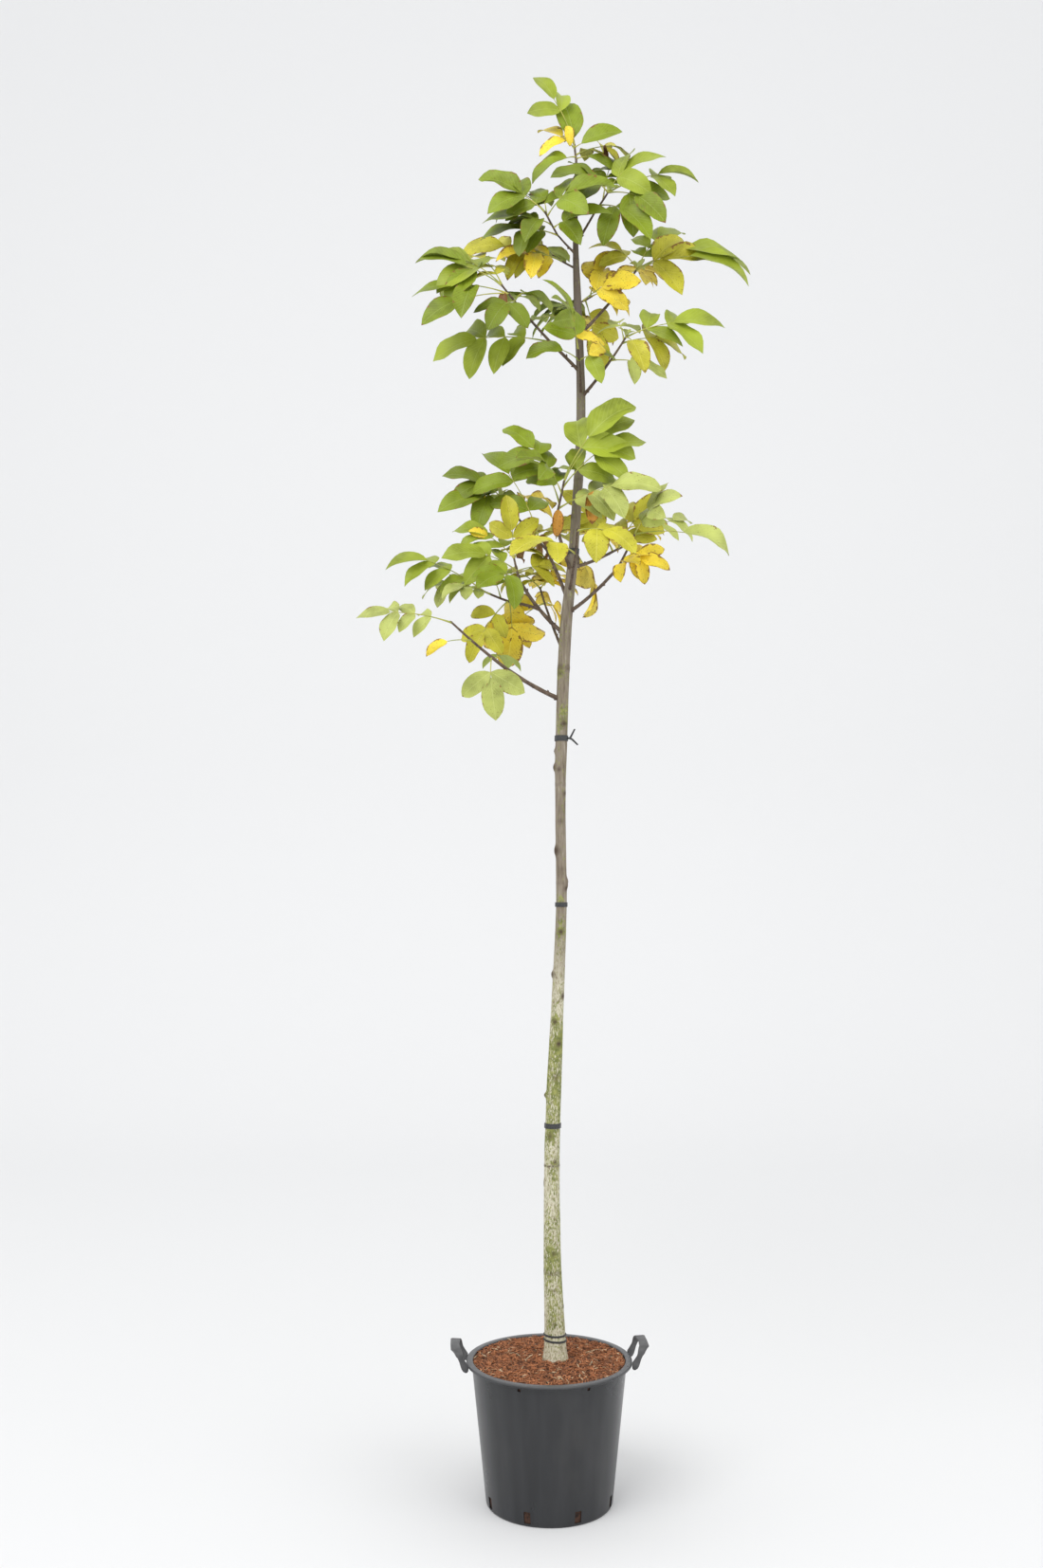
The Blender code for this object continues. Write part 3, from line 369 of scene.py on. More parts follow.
worn = Finish("worn_plastic", (0.080, 0.080, 0.082), 0.46)
worn.paint(worn.ramp(worn.cloud(38, detail=5), ((0.36, (0.058, 0.058, 0.061)), (0.68, (0.105, 0.104, 0.103)))))
worn.relief(worn.cloud(700, detail=2), 0.0002, 0.4)
for name, bearing in (("handle_right", HANDLE_TURN), ("handle_left", 180 + HANDLE_TURN)):
    handle = new_object("strap_" + name, *strap(bearing), [worn.material])
    outward(handle.data)
    bevel = handle.modifiers.new("edges", "BEVEL")
    bevel.width, bevel.segments, bevel.limit_method, bevel.angle_limit = HANDLE_BEVEL, 2, "ANGLE", math.radians(50)
    handle.data = bpy.data.meshes.new_from_object(handle.evaluated_get(bpy.context.evaluated_depsgraph_get()))
    handle.modifiers.remove(bevel)
    handle.data.shade_smooth()
    handle.data.set_sharp_from_angle(angle=math.radians(40))
    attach(handle, "root")
    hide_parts(name)

# The growing medium is shredded bark and coir: loose fibres, flakes and crumbs on a rough bed, pressed in by hand.
# The chips are scattered over the bed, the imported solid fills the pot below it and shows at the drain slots.
BED_EDGE_RADIUS = 0.1915
BED_EDGE_HEIGHT = 0.3458
BED_HEAP = 0.0062
BED_RINGS, BED_SIDES = 34, 120
BED_LUMP, BED_GRAIN = 0.0034, 0.0028
BED_DEPTH = 0.004
POT_INSIDE_RADIUS = 0.1927
RUST, DARK, STRAW = (0.70, 0.280, 0.120), (0.110, 0.045, 0.024), (0.92, 0.70, 0.44)
# Length, width and thickness of one chip, how far it bends, its colour, count for each square metre and seed
CHIPS = {"fibres": (0.0210, 0.0017, 0.0012, 0.0036, RUST, 19000, 3),
         "flakes": (0.0140, 0.0052, 0.0016, 0.0014, (0.56, 0.215, 0.092), 9000, 5),
         "crumbs": (0.0062, 0.0042, 0.0032, 0.0004, DARK, 7500, 7),
         "splinters": (0.0200, 0.0036, 0.0016, 0.0022, STRAW, 1500, 11)}
TRUNK_ROUTE = (
    (0.3493, 0.0160, 0.0335), (0.372, 0.0156, 0.0290), (0.440, 0.0140, 0.0258), (0.600, 0.0085, 0.0221),
    (0.850, 0.0080, 0.0198), (1.060, 0.0145, 0.0185), (1.240, 0.0228, 0.0160), (1.500, 0.0330, 0.0140),
    (1.760, 0.0312, 0.0137), (1.900, 0.0330, 0.0155), (2.210, 0.0450, 0.0158), (2.430, 0.0669, 0.0132),
    (2.750, 0.0868, 0.0122), (2.930, 0.0862, 0.0110), (3.140, 0.0780, 0.0098), (3.240, 0.0750, 0.0078),
    (3.330, 0.0746, 0.0064), (3.490, 0.0768, 0.0034),
)


def mulch(name, dark, light):
    """A chip's finish: two tones of one bark colour, rough all over."""
    made = Finish(name, light, 0.95)
    shade = made.maths("ADD", made.maths("MULTIPLY", made.cloud(60, detail=2), 0.6),
                       made.maths("MULTIPLY", made.cloud(330, detail=2), 0.4))
    made.paint(made.ramp(shade, ((0.38, tuple(c * 0.8 for c in dark)), (0.49, tuple(c * 0.72 for c in light)),
                                 (0.60, light))))
    made.relief(made.cloud(1500, detail=2), 0.0004, 0.7)
    return made.material


def chip(name, length, width, thick, bend):
    """One chip: a three-sided sliver that tapers to both ends and bends."""
    verts = []
    for i, (along, share) in enumerate(((-0.5, 0.45), (-0.15, 1.0), (0.22, 0.9), (0.5, 0.35))):
        lift = bend * (1 - (2 * along)**2)
        for k in range(3):
            turn = math.radians(120 * k + 30 * i)
            verts.append((along * length, share * width / 2 * math.cos(turn), lift + share * thick / 2 * math.sin(turn)))
    made = new_object(name, verts, ring_faces(4, 3), [])
    outward(made.data)
    return made


def nodes_of(label, sockets):
    """A Geometry Nodes tree with its named inputs. Returns the tree, its input node and its output node."""
    tree = bpy.data.node_groups.new(label, "GeometryNodeTree")
    tree.interface.new_socket("Geometry", in_out="INPUT", socket_type="NodeSocketGeometry")
    for socket, kind in sockets.items():
        tree.interface.new_socket(socket, in_out="INPUT", socket_type="NodeSocket" + kind)
    tree.interface.new_socket("Geometry", in_out="OUTPUT", socket_type="NodeSocketGeometry")
    return tree, tree.nodes.new("NodeGroupInput"), tree.nodes.new("NodeGroupOutput")


def grown(base, tree, values):
    """The plain mesh that a tree makes from an object, with the tree's named inputs set."""
    modifier = base.modifiers.new(tree.name, "NODES")
    modifier.node_group = tree
    for item in tree.interface.items_tree:
        if item.in_out == "INPUT" and item.name in values:
            modifier[item.identifier] = values[item.name]
    made = bpy.data.meshes.new_from_object(base.evaluated_get(bpy.context.evaluated_depsgraph_get()))
    base.modifiers.remove(modifier)
    return made


def scatter_tree():
    """Chips strewn at random over the upward faces of a bed, lying nearly flat."""
    tree, given, made = nodes_of("strewn_chips", {"Chip": "Object", "Per square metre": "Float", "Seed": "Int",
                                                  "Tilt": "Float", "Finish": "Material"})
    link = tree.links.new
    facing = tree.nodes.new("GeometryNodeInputNormal")
    split = tree.nodes.new("ShaderNodeSeparateXYZ")
    upward = tree.nodes.new("FunctionNodeCompare")
    upward.inputs[1].default_value = 0.6
    link(facing.outputs[0], split.inputs[0])
    link(split.outputs["Z"], upward.inputs[0])
    strew = tree.nodes.new("GeometryNodeDistributePointsOnFaces")
    link(given.outputs["Geometry"], strew.inputs["Mesh"])
    link(upward.outputs[0], strew.inputs["Selection"])
    link(given.outputs["Per square metre"], strew.inputs["Density"])
    link(given.outputs["Seed"], strew.inputs["Seed"])
    tilt = tree.nodes.new("ShaderNodeCombineXYZ")
    low = tree.nodes.new("ShaderNodeVectorMath")
    low.operation = "SCALE"
    low.inputs["Scale"].default_value = -1
    tilt.inputs["Z"].default_value = math.pi
    link(given.outputs["Tilt"], tilt.inputs["X"])
    link(given.outputs["Tilt"], tilt.inputs["Y"])
    link(tilt.outputs[0], low.inputs[0])
    turn = tree.nodes.new("FunctionNodeRandomValue")
    turn.data_type = "FLOAT_VECTOR"
    link(low.outputs[0], turn.inputs["Min"])
    link(tilt.outputs[0], turn.inputs["Max"])
    link(given.outputs["Seed"], turn.inputs["Seed"])
    size = tree.nodes.new("FunctionNodeRandomValue")
    size.inputs[2].default_value, size.inputs[3].default_value = 0.45, 1.35
    link(given.outputs["Seed"], size.inputs["Seed"])
    chip_info = tree.nodes.new("GeometryNodeObjectInfo")
    link(given.outputs["Chip"], chip_info.inputs["Object"])
    lay = tree.nodes.new("GeometryNodeInstanceOnPoints")
    link(strew.outputs["Points"], lay.inputs["Points"])
    link(chip_info.outputs["Geometry"], lay.inputs["Instance"])
    link(turn.outputs[0], lay.inputs["Rotation"])
    link(size.outputs[1], lay.inputs["Scale"])
    real = tree.nodes.new("GeometryNodeRealizeInstances")
    coat = tree.nodes.new("GeometryNodeSetMaterial")
    link(lay.outputs[0], real.inputs[0])
    link(real.outputs[0], coat.inputs["Geometry"])
    link(given.outputs["Finish"], coat.inputs["Material"])
    link(coat.outputs[0], made.inputs["Geometry"])
    return tree


soil_finish = mulch("bark_mulch", (0.040, 0.017, 0.010), (0.24, 0.096, 0.046))
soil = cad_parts["soil"]
soil.data.materials.clear()
# The imported soil that shows at the drain slots gets a darker copy of the mulch: painted shade for the shade inside
# the pot.
soil.data.materials.append(mulch("mulch_painted_shade", (0.020, 0.010, 0.007), (0.085, 0.040, 0.024)))
foot = Vector((TRUNK_ROUTE[0][1], 0, 0))
verts, faces = [], []
for i in range(BED_RINGS + 1):
    share = 1 - i / BED_RINGS
    for k in range(BED_SIDES):
        flat = BED_EDGE_RADIUS * share * heading(360 * k / BED_SIDES, 0) + foot * (1 - share)
        lump = noise.noise(flat * 38) * BED_LUMP + noise.noise(flat * 160) * BED_GRAIN + noise.noise(flat * 420) * 0.001
        verts.append(flat + (BED_EDGE_HEIGHT + BED_HEAP * (1 - share) + lump * min(1, 12 * (1 - share))) * UP)
low_ring = [BED_EDGE_RADIUS * heading(360 * k / BED_SIDES, 0) + (BED_EDGE_HEIGHT - BED_DEPTH) * UP
            for k in range(BED_SIDES)]
bed = new_object("mulch_bed", low_ring + verts, ring_faces(BED_RINGS + 2, BED_SIDES), [soil_finish], 60)
outward(bed.data)
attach(bed, "root")
strewn = scatter_tree()
for kind, (length, width, thick, bend, colour, count, seed) in CHIPS.items():
    sliver = chip("chip", length, width, thick, bend)
    finish = mulch("bark_" + kind, tuple(c * 0.40 for c in colour), colour)
    mesh = grown(bed, strewn, {"Chip": sliver, "Per square metre": count, "Seed": seed, "Tilt": 0.6,
                               "Finish": finish})
    for vert in mesh.vertices:
        beyond = vert.co.xy.length / POT_INSIDE_RADIUS
        if beyond > 1:
            vert.co.x, vert.co.y = vert.co.x / beyond, vert.co.y / beyond
    piece = bpy.data.objects.new("mulch_" + kind, mesh)
    bpy.context.scene.collection.objects.link(piece)
    bpy.data.objects.remove(sliver)
    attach(piece, "root")

# The trunk is one young stem: taupe and smooth above, pale and greened with algae from its middle down.
# Its bark has fine furrows, ring scars where each year's shoot began, and the knots of pruned twigs.
TRUNK_KNOTS = ((1.012, 180, 0.0065), (1.565, 15, 0.0030), (1.900, 175, 0.0035), (2.395, 330, 0.0060))
KNOT_HEIGHT = 0.014
KNOT_FOCUS = 8
TRUNK_RING = 0.005
TRUNK_SIDES = 40
# Height and depth of the scars that ring the stem
RING_SCARS = ((0.567, 1.0), (0.835, 1.2), (1.556, 0.4), (1.812, 0.5), (2.113, 1.1), (2.121, 1.1), (2.62, 0.6),
              (3.03, 0.8), (3.22, 0.7))
# Height, bearing, size and darkness of small knots and scars, and how mossy each one is
BUD_SCARS = (
    (0.445, 268, 0.007, 0.6, 0.3), (0.525, 275, 0.007, 0.6, 0.3), (0.617, 280, 0.008, 0.7, 0.2),
    (0.483, 345, 0.007, 0.8, 0.0), (0.790, 180, 0.008, 1.0, 0.0), (0.845, 292, 0.007, 1.0, 0.4),
    (0.911, 252, 0.011, 0.7, 1.0), (1.058, 282, 0.011, 0.6, 0.0), (1.144, 292, 0.011, 1.0, 1.0),
    (1.200, 253, 0.010, 0.9, 1.0), (1.265, 320, 0.011, 1.0, 0.2), (1.321, 196, 0.012, 1.0, 0.0),
    (1.430, 272, 0.011, 1.0, 1.0), (1.457, 280, 0.010, 0.1, 0.9), (1.514, 262, 0.009, 0.0, 1.0),
    (1.542, 325, 0.010, 1.0, 0.0), (1.553, 358, 0.012, 0.7, 0.0), (1.640, 214, 0.017, 1.0, 0.0),
    (1.716, 275, 0.011, 0.5, 0.0), (1.789, 322, 0.009, 1.0, 0.1), (1.857, 192, 0.012, 1.0, 0.3),
    (1.851, 255, 0.008, 0.8, 0.2),
    (1.971, 288, 0.012, 0.9, 1.0), (2.003, 275, 0.010, 0.1, 0.9), (2.105, 230, 0.013, 0.6, 0.8),
    (2.408, 335, 0.012, 1.0, 0.0), (2.520, 200, 0.009, 0.8, 0.0), (2.660, 300, 0.008, 0.7, 0.0),
    (0.70, 80, 0.008, 0.8, 0.4), (1.10, 100, 0.010, 0.8, 0.6), (1.50, 60, 0.010, 0.8, 0.0),
    (1.95, 110, 0.010, 0.8, 0.2))
# Size from which a mark is a knob, and how far knobs and lesser scars stand out
KNOT_SIZE, KNOT_STAND, SCAR_STAND = 0.0115, 0.0072, 0.0018
# Height and share of green algae on the bark
ALGAE = ((0.34, 0.10), (0.42, 0.30), (0.52, 0.60), (0.62, 0.62), (0.72, 0.36), (0.85, 0.44), (0.93, 0.66),
         (1.02, 0.72), (1.08, 0.66), (1.14, 0.90), (1.18, 0.70), (1.24, 0.26), (1.36, 0.14), (1.43, 0.36),
         (1.50, 0.14), (1.90, 0.06), (1.98, 0.30), (2.06, 0.14), (2.12, 0.26), (2.18, 0.10), (3.60, 0.04))


def tube(points, radii, sides):
    """A closed tube of flat-ended rings along points, each ring square to the route there."""
    points = [Vector(p) for p in points]
    verts, side = [], None
    for i, point in enumerate(points):
        ahead = points[min(i + 1, len(points) - 1)] - point
        behind = point - points[max(i - 1, 0)]
        along = (ahead.normalized() + behind.normalized()).normalized()
        if side is None:
            side = along.cross(UP) if abs(along.z) < 0.95 else along.cross(Vector((0, 1, 0)))
        side = (side - along * side.dot(along)).normalized()
        across = along.cross(side)
        for k in range(sides):
            turn = 2 * math.pi * k / sides
            verts.append(point + radii[i] * (math.cos(turn) * side + math.sin(turn) * across))
    return verts, ring_faces(len(points), sides)


def between(rows, height):
    """Read the trunk's route at a height, on a smooth curve through its rows."""
    i = max(1, min(len(rows) - 1, next((k for k, row in enumerate(rows) if row[0] >= height), len(rows) - 1)))
    low, high = rows[i - 1], rows[i]
    before, after = rows[max(i - 2, 0)], rows[min(i + 1, len(rows) - 1)]
    span = high[0] - low[0]
    t = max(0.0, min(1.0, (height - low[0]) / span))
    values = []
    for column in (1, 2):
        slope_in = (high[column] - before[column]) / (high[0] - before[0]) * span
        slope_out = (after[column] - low[column]) / (after[0] - low[0]) * span
        values.append((2 * t**3 - 3 * t**2 + 1) * low[column] + (t**3 - 2 * t**2 + t) * slope_in
                      + (3 * t**2 - 2 * t**3) * high[column] + (t**3 - t**2) * slope_out)
    return values


def trunk_at(height):
    """Centre and radius of the trunk at a height."""
    lean, radius = between(TRUNK_ROUTE, height)
    return Vector((lean, 0, height)), radius


def share_at(rows, height):
    """Read a straight-line table of (height, value) rows."""
    for (low, first), (high, second) in zip(rows, rows[1:]):
        if low <= height <= high:
            return first + (second - first) * (height - low) / (high - low)
    return rows[-1][1]


def bark_at(height, bearing, radius):
    """How far the bark stands out at a spot of the trunk, and how scarred and how mossy it is there."""
    turn = math.radians(bearing)
    round_x, round_y = math.cos(turn), math.sin(turn)
    furrow = noise.noise(Vector((round_x * 9, round_y * 9, height * 12)))
    lumps = noise.noise(Vector((round_x * 1.3, round_y * 1.3, height * 11 + 40)))
    stand, scar, moss = 0.00035 * furrow + 0.0007 * lumps, 0.0, 0.0
    for knot_height, knot_bearing, size in TRUNK_KNOTS:
        near = max(0.0, math.cos(math.radians(bearing - knot_bearing)))**KNOT_FOCUS
        rise = near * math.exp(-(2 * (height - knot_height) / KNOT_HEIGHT)**2)
        stand += size * rise
        scar = max(scar, rise**2)
    for ring_height, depth in RING_SCARS:
        wander = 0.002 * noise.noise(Vector((round_x * 2, round_y * 2, ring_height * 50)))
        rise = depth * math.exp(-((height - ring_height - wander) / 0.0035)**2)
        stand += 0.0006 * rise
        scar = max(scar, 0.75 * rise * (0.7 + 0.6 * furrow))
    for spot_height, spot_bearing, size, dark, mossy in BUD_SCARS:
        gap = (bearing - spot_bearing + 180) % 360 - 180
        away = math.hypot(math.radians(gap) * radius, (height - spot_height) * 0.9) / size
        if away < 2:
            dome = math.exp(-(away * 1.5)**2) * (1 - 0.5 * math.exp(-(away * 3)**2))
            stand += dark * dome * (KNOT_STAND if size > KNOT_SIZE else SCAR_STAND)
            scar = max(scar, dark * math.exp(-(away * 1.5)**2))
            moss = max(moss, mossy * math.exp(-(away * 0.9)**2))
    return stand * min(1.0, radius / 0.011), scar, moss


low, high = TRUNK_ROUTE[0][0], TRUNK_ROUTE[-1][0]
rings = round((high - low) / TRUNK_RING)
verts, scars, algae = [], [], []
for i in range(rings + 1):
    height = low + (high - low) * i / rings
    centre, radius = trunk_at(height)
    for k in range(TRUNK_SIDES):
        bearing = 360 * k / TRUNK_SIDES
        stand, scar, moss = bark_at(height, bearing, radius)
        patch = noise.noise(Vector((math.cos(math.radians(bearing)), math.sin(math.radians(bearing)), height * 14)))
        right = 0.16 * math.cos(math.radians(bearing))
        verts.append(centre + (radius + stand) * heading(bearing, 0))
        scars.append(scar)
        algae.append(max(0.0, min(1.3, share_at(ALGAE, height) * (1 + right) + 0.38 * patch + 0.6 * moss)))
bark = Finish("young_bark", (0.22, 0.18, 0.14), 0.74)
smooth = bark.ramp(bark.cloud(150, (1, 1, 0.12), 4, 0.6), ((0.30, (0.115, 0.086, 0.060)), (0.46, (0.205, 0.166, 0.122)),
                                                           (0.60, (0.250, 0.210, 0.160)), (0.75, (0.350, 0.312, 0.255))))
pale = bark.ramp(bark.cloud(230, (1, 1, 0.45), 5, 0.65), ((0.36, (0.22, 0.175, 0.10)), (0.47, (0.50, 0.465, 0.335)),
                                                          (0.66, (0.66, 0.63, 0.49))))
age = bark.tree.nodes.new("ShaderNodeMapRange")
split = bark.tree.nodes.new("ShaderNodeSeparateXYZ")
bark.tree.links.new(bark.place(), split.inputs[0])
bark.tree.links.new(split.outputs["Z"], age.inputs["Value"])
age.inputs["From Min"].default_value, age.inputs["From Max"].default_value = 1.56, 1.00
grown_old = bark.maths("ADD", age.outputs[0], bark.maths("MULTIPLY", bark.cloud(14), 0.3), True)
# Above 2.15 m the bark is made darker, and darker still above 2.8 m.
for start, reach, share, colour in ((2.15, 0.45, 0.55, (0.150, 0.120, 0.094)), (2.80, 0.20, 0.80, (0.085, 0.062, 0.046))):
    upper_darkening = bark.maths("MULTIPLY", bark.maths("SUBTRACT", split.outputs["Z"], start), 1 / reach, True)
    smooth = bark.mix(bark.maths("MULTIPLY", upper_darkening, share), smooth, colour)
plain = bark.mix(bark.ramp(grown_old, ((0.35, 0.0), (0.75, 1.0))), smooth, pale)
flecks = bark.cloud(330, (1, 1, 0.38), 4, 0.7)
cover = bark.maths("SUBTRACT", bark.maths("ADD", flecks, bark.maths("MULTIPLY", bark.value("algae"), 0.30)), 0.62)
green = bark.ramp(bark.cloud(90), ((0.35, (0.120, 0.140, 0.026)), (0.65, (0.290, 0.300, 0.085))))
greened = bark.mix(bark.maths("MULTIPLY", cover, 14, True), plain, green)
bark.paint(bark.mix(bark.maths("MULTIPLY", bark.value("scar"), 1.1, True), greened, (0.060, 0.036, 0.020)))
bark.relief(flecks, 0.0009, 0.55)
trunk = new_object("walnut_trunk", verts, ring_faces(rings + 1, TRUNK_SIDES), [bark.material], 60)
for label, values in (("scar", scars), ("algae", algae)):
    trunk.data.attributes.new(label, "FLOAT", "POINT").data.foreach_set("value", values)
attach(trunk, "root")
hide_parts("trunk")

# The ties are snug bands of black rubber tube and keep their solids. The high one is twisted shut, with two tails.
band = Finish("black_band", (0.030, 0.031, 0.032), 0.5)
band.paint(band.ramp(band.cloud(400), ((0.35, (0.020, 0.021, 0.022)), (0.65, (0.045, 0.046, 0.048)))))
band.relief(band.cloud(700, (1, 1, 4)), 0.0004, 0.8)
for name in ("tie_foot_low", "tie_foot_high", "tie_low", "tie_middle", "tie_high", "tape_crown"):
    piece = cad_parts[name]
    piece.data.materials.clear()
    piece.data.materials.append(band.material)
TAIL_HEIGHT, TAIL_RADIUS, TAIL_BEARING = 1.933, 0.0027, 345
TAIL_REACH = ((0.018, 0.024), (0.026, -0.018))


def add_solid(store, verts, faces):
    """Add a solid's vertices and faces to a joined mesh."""
    base = len(store[0])
    store[0].extend(verts)
    store[1].extend(tuple(i + base for i in face) for face in faces)


centre, radius = trunk_at(TAIL_HEIGHT)
out = heading(TAIL_BEARING, 0)
root = centre + out * (radius + 0.0025)
tails = ([], [])
for reach, lift in TAIL_REACH:
    bend = root + out * reach * 0.4 + UP * lift * 0.15
    add_solid(tails, *tube([root - out * 0.001, root + out * 0.004, bend, root + out * reach + UP * lift],
                           [TAIL_RADIUS] * 3 + [TAIL_RADIUS * 0.8], 8))
twist = new_object("tie_tails", *tails, [band.material], 50)
outward(twist.data)
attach(twist, "root")

# The boughs are short dark shoots of two seasons, each one tapering limb that swells at the collar where it leaves
# the trunk.
BOUGHS = {
    "bough_low_left": ("trunk", 2.033, 195, 27, 0.165, 0.0062, 0.0052, 12),
    "bough_left": ("trunk", 2.205, 161, 50, 0.190, 0.0058, 0.0042, 18),
    "bough_left_side": ("bough_left", 0.66, 166, 16, 0.078, 0.0042, 0.0036, -8),
    "bough_left_thin": ("trunk", 2.155, 114, 52, 0.180, 0.0042, 0.0030, 6),
    "bough_left_high": ("trunk", 2.294, 122, 57, 0.185, 0.0052, 0.0040, -8),
    "bough_centre_left": ("trunk", 2.372, 243, 50, 0.145, 0.0050, 0.0040, 14),
    "bough_right": ("trunk", 2.262, 330, 35, 0.175, 0.0050, 0.0038, 16),
    "bough_right_high": ("trunk", 2.385, 33, 24, 0.144, 0.0048, 0.0036, 12),
    "bough_front_low": ("trunk", 2.320, 276, 32, 0.130, 0.0044, 0.0032, 14),
    "bough_back_low": ("trunk", 2.345, 82, 40, 0.140, 0.0046, 0.0034, 12),
    "bough_up_right": ("trunk", 2.842, 322, 40, 0.120, 0.0046, 0.0034, 10),
    "bough_up_left": ("trunk", 2.912, 204, 38, 0.110, 0.0046, 0.0040, 0),
    "bough_front_up": ("trunk", 2.850, 266, 34, 0.080, 0.0036, 0.0026, 10),
    "bough_back_up": ("trunk", 2.985, 97, 42, 0.120, 0.0044, 0.0032, 8),
    "bough_top_right": ("trunk", 3.012, 26, 49, 0.178, 0.0046, 0.0034, 4),
    "bough_leader_right": ("trunk", 3.262, 337, 55, 0.092, 0.0036, 0.0028, 4),
    "bough_leader_left": ("trunk", 3.235, 214, 32, 0.065, 0.0030, 0.0024, 8),
}
BOUGH_SIDES = 12
BOUGH_RINGS = 4
BOUGH_COLLAR = 1.5
COLLAR_LENGTH = 0.02
BUD_LENGTH, BUD_RADIUS = 0.0075, 0.0024
BUD_STEP = 0.034


def limb_route(start, bearing, rise, length, turn, rings):
    """Points along a limb that turns upwards evenly over its length."""
    points, point = [Vector(start)], Vector(start)
    for i in range(rings - 1):
        now = rise + turn * ((i + 0.5) / (rings - 1) - 0.5)
        point = point + heading(bearing, now) * length / (rings - 1)
        points.append(point)
    return points


def finer(points, radii, steps, lump=0.0):
    """The same route and radii with more rings, on a smooth curve through the old ones, a little uneven."""
    many, wide = [], []
    for i in range(len(points) - 1):
        before, after = points[max(i - 1, 0)], points[min(i + 2, len(points) - 1)]
        a, b = points[i], points[i + 1]
        for k in range(steps):
            t = k / steps
            spot = 0.5 * (2 * a + (b - before) * t + (2 * before - 5 * a + 4 * b - after) * t**2
                          + (3 * a - before - 3 * b + after) * t**3)
            many.append(spot)
            wide.append((radii[i] + (radii[i + 1] - radii[i]) * t) * (1 + lump * noise.noise(spot * 110)))
    return many + [points[-1]], wide + [radii[-1]]


shoot = Finish("shoot_bark", (0.08, 0.05, 0.032), 0.62)
dapple = shoot.ramp(shoot.cloud(70, detail=4), ((0.32, (0.050, 0.030, 0.019)), (0.52, (0.095, 0.060, 0.038)),
                                                (0.72, (0.150, 0.105, 0.068))))
lenticels = shoot.ramp(shoot.cloud(520, detail=1), ((0.66, 0.0), (0.72, 0.8)))
shoot.paint(shoot.mix(lenticels, dapple, (0.34, 0.27, 0.19)))
shoot.relief(shoot.cloud(260), 0.0008, 0.7)
limbs, wood, bud_spots = {}, ([], []), []
for name, (parent, place, bearing, rise, length, root, tip, turn) in BOUGHS.items():
    if parent == "trunk":
        start, _ = trunk_at(place)
    else:
        route, radii = limbs[parent]
        share = place * (len(route) - 1)
        start = route[int(share)].lerp(route[int(share) + 1], share % 1)
    points = limb_route(start, bearing, rise, length, turn, BOUGH_RINGS)
    points.insert(1, points[0].lerp(points[1], COLLAR_LENGTH / (points[1] - points[0]).length))
    radii = [root + (tip - root) * (p - start).length / length for p in points]
    radii[0] *= BOUGH_COLLAR
    add_solid(wood, *tube(*finer(points, radii, 5, 0.10), BOUGH_SIDES))
    limbs[name] = (points, radii)
    for k in range(int(length / BUD_STEP)):
        at = (k + 1) * BUD_STEP / length
        i = min(int(at * (len(points) - 1)), len(points) - 2)
        along = (points[i + 1] - points[i]).normalized()
        side = (heading(bearing + 90 + 137 * k, 10 * k) - along * 0.2).cross(along).normalized()
        bud_spots.append((points[i].lerp(points[i + 1], at * (len(points) - 1) - i) + side * tip * 0.8,
                          (along + side * 0.7).normalized(), 1.0))
boughs = new_object("walnut_boughs", *wood, [shoot.material], 60)
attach(boughs, "root")
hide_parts(*BOUGHS)

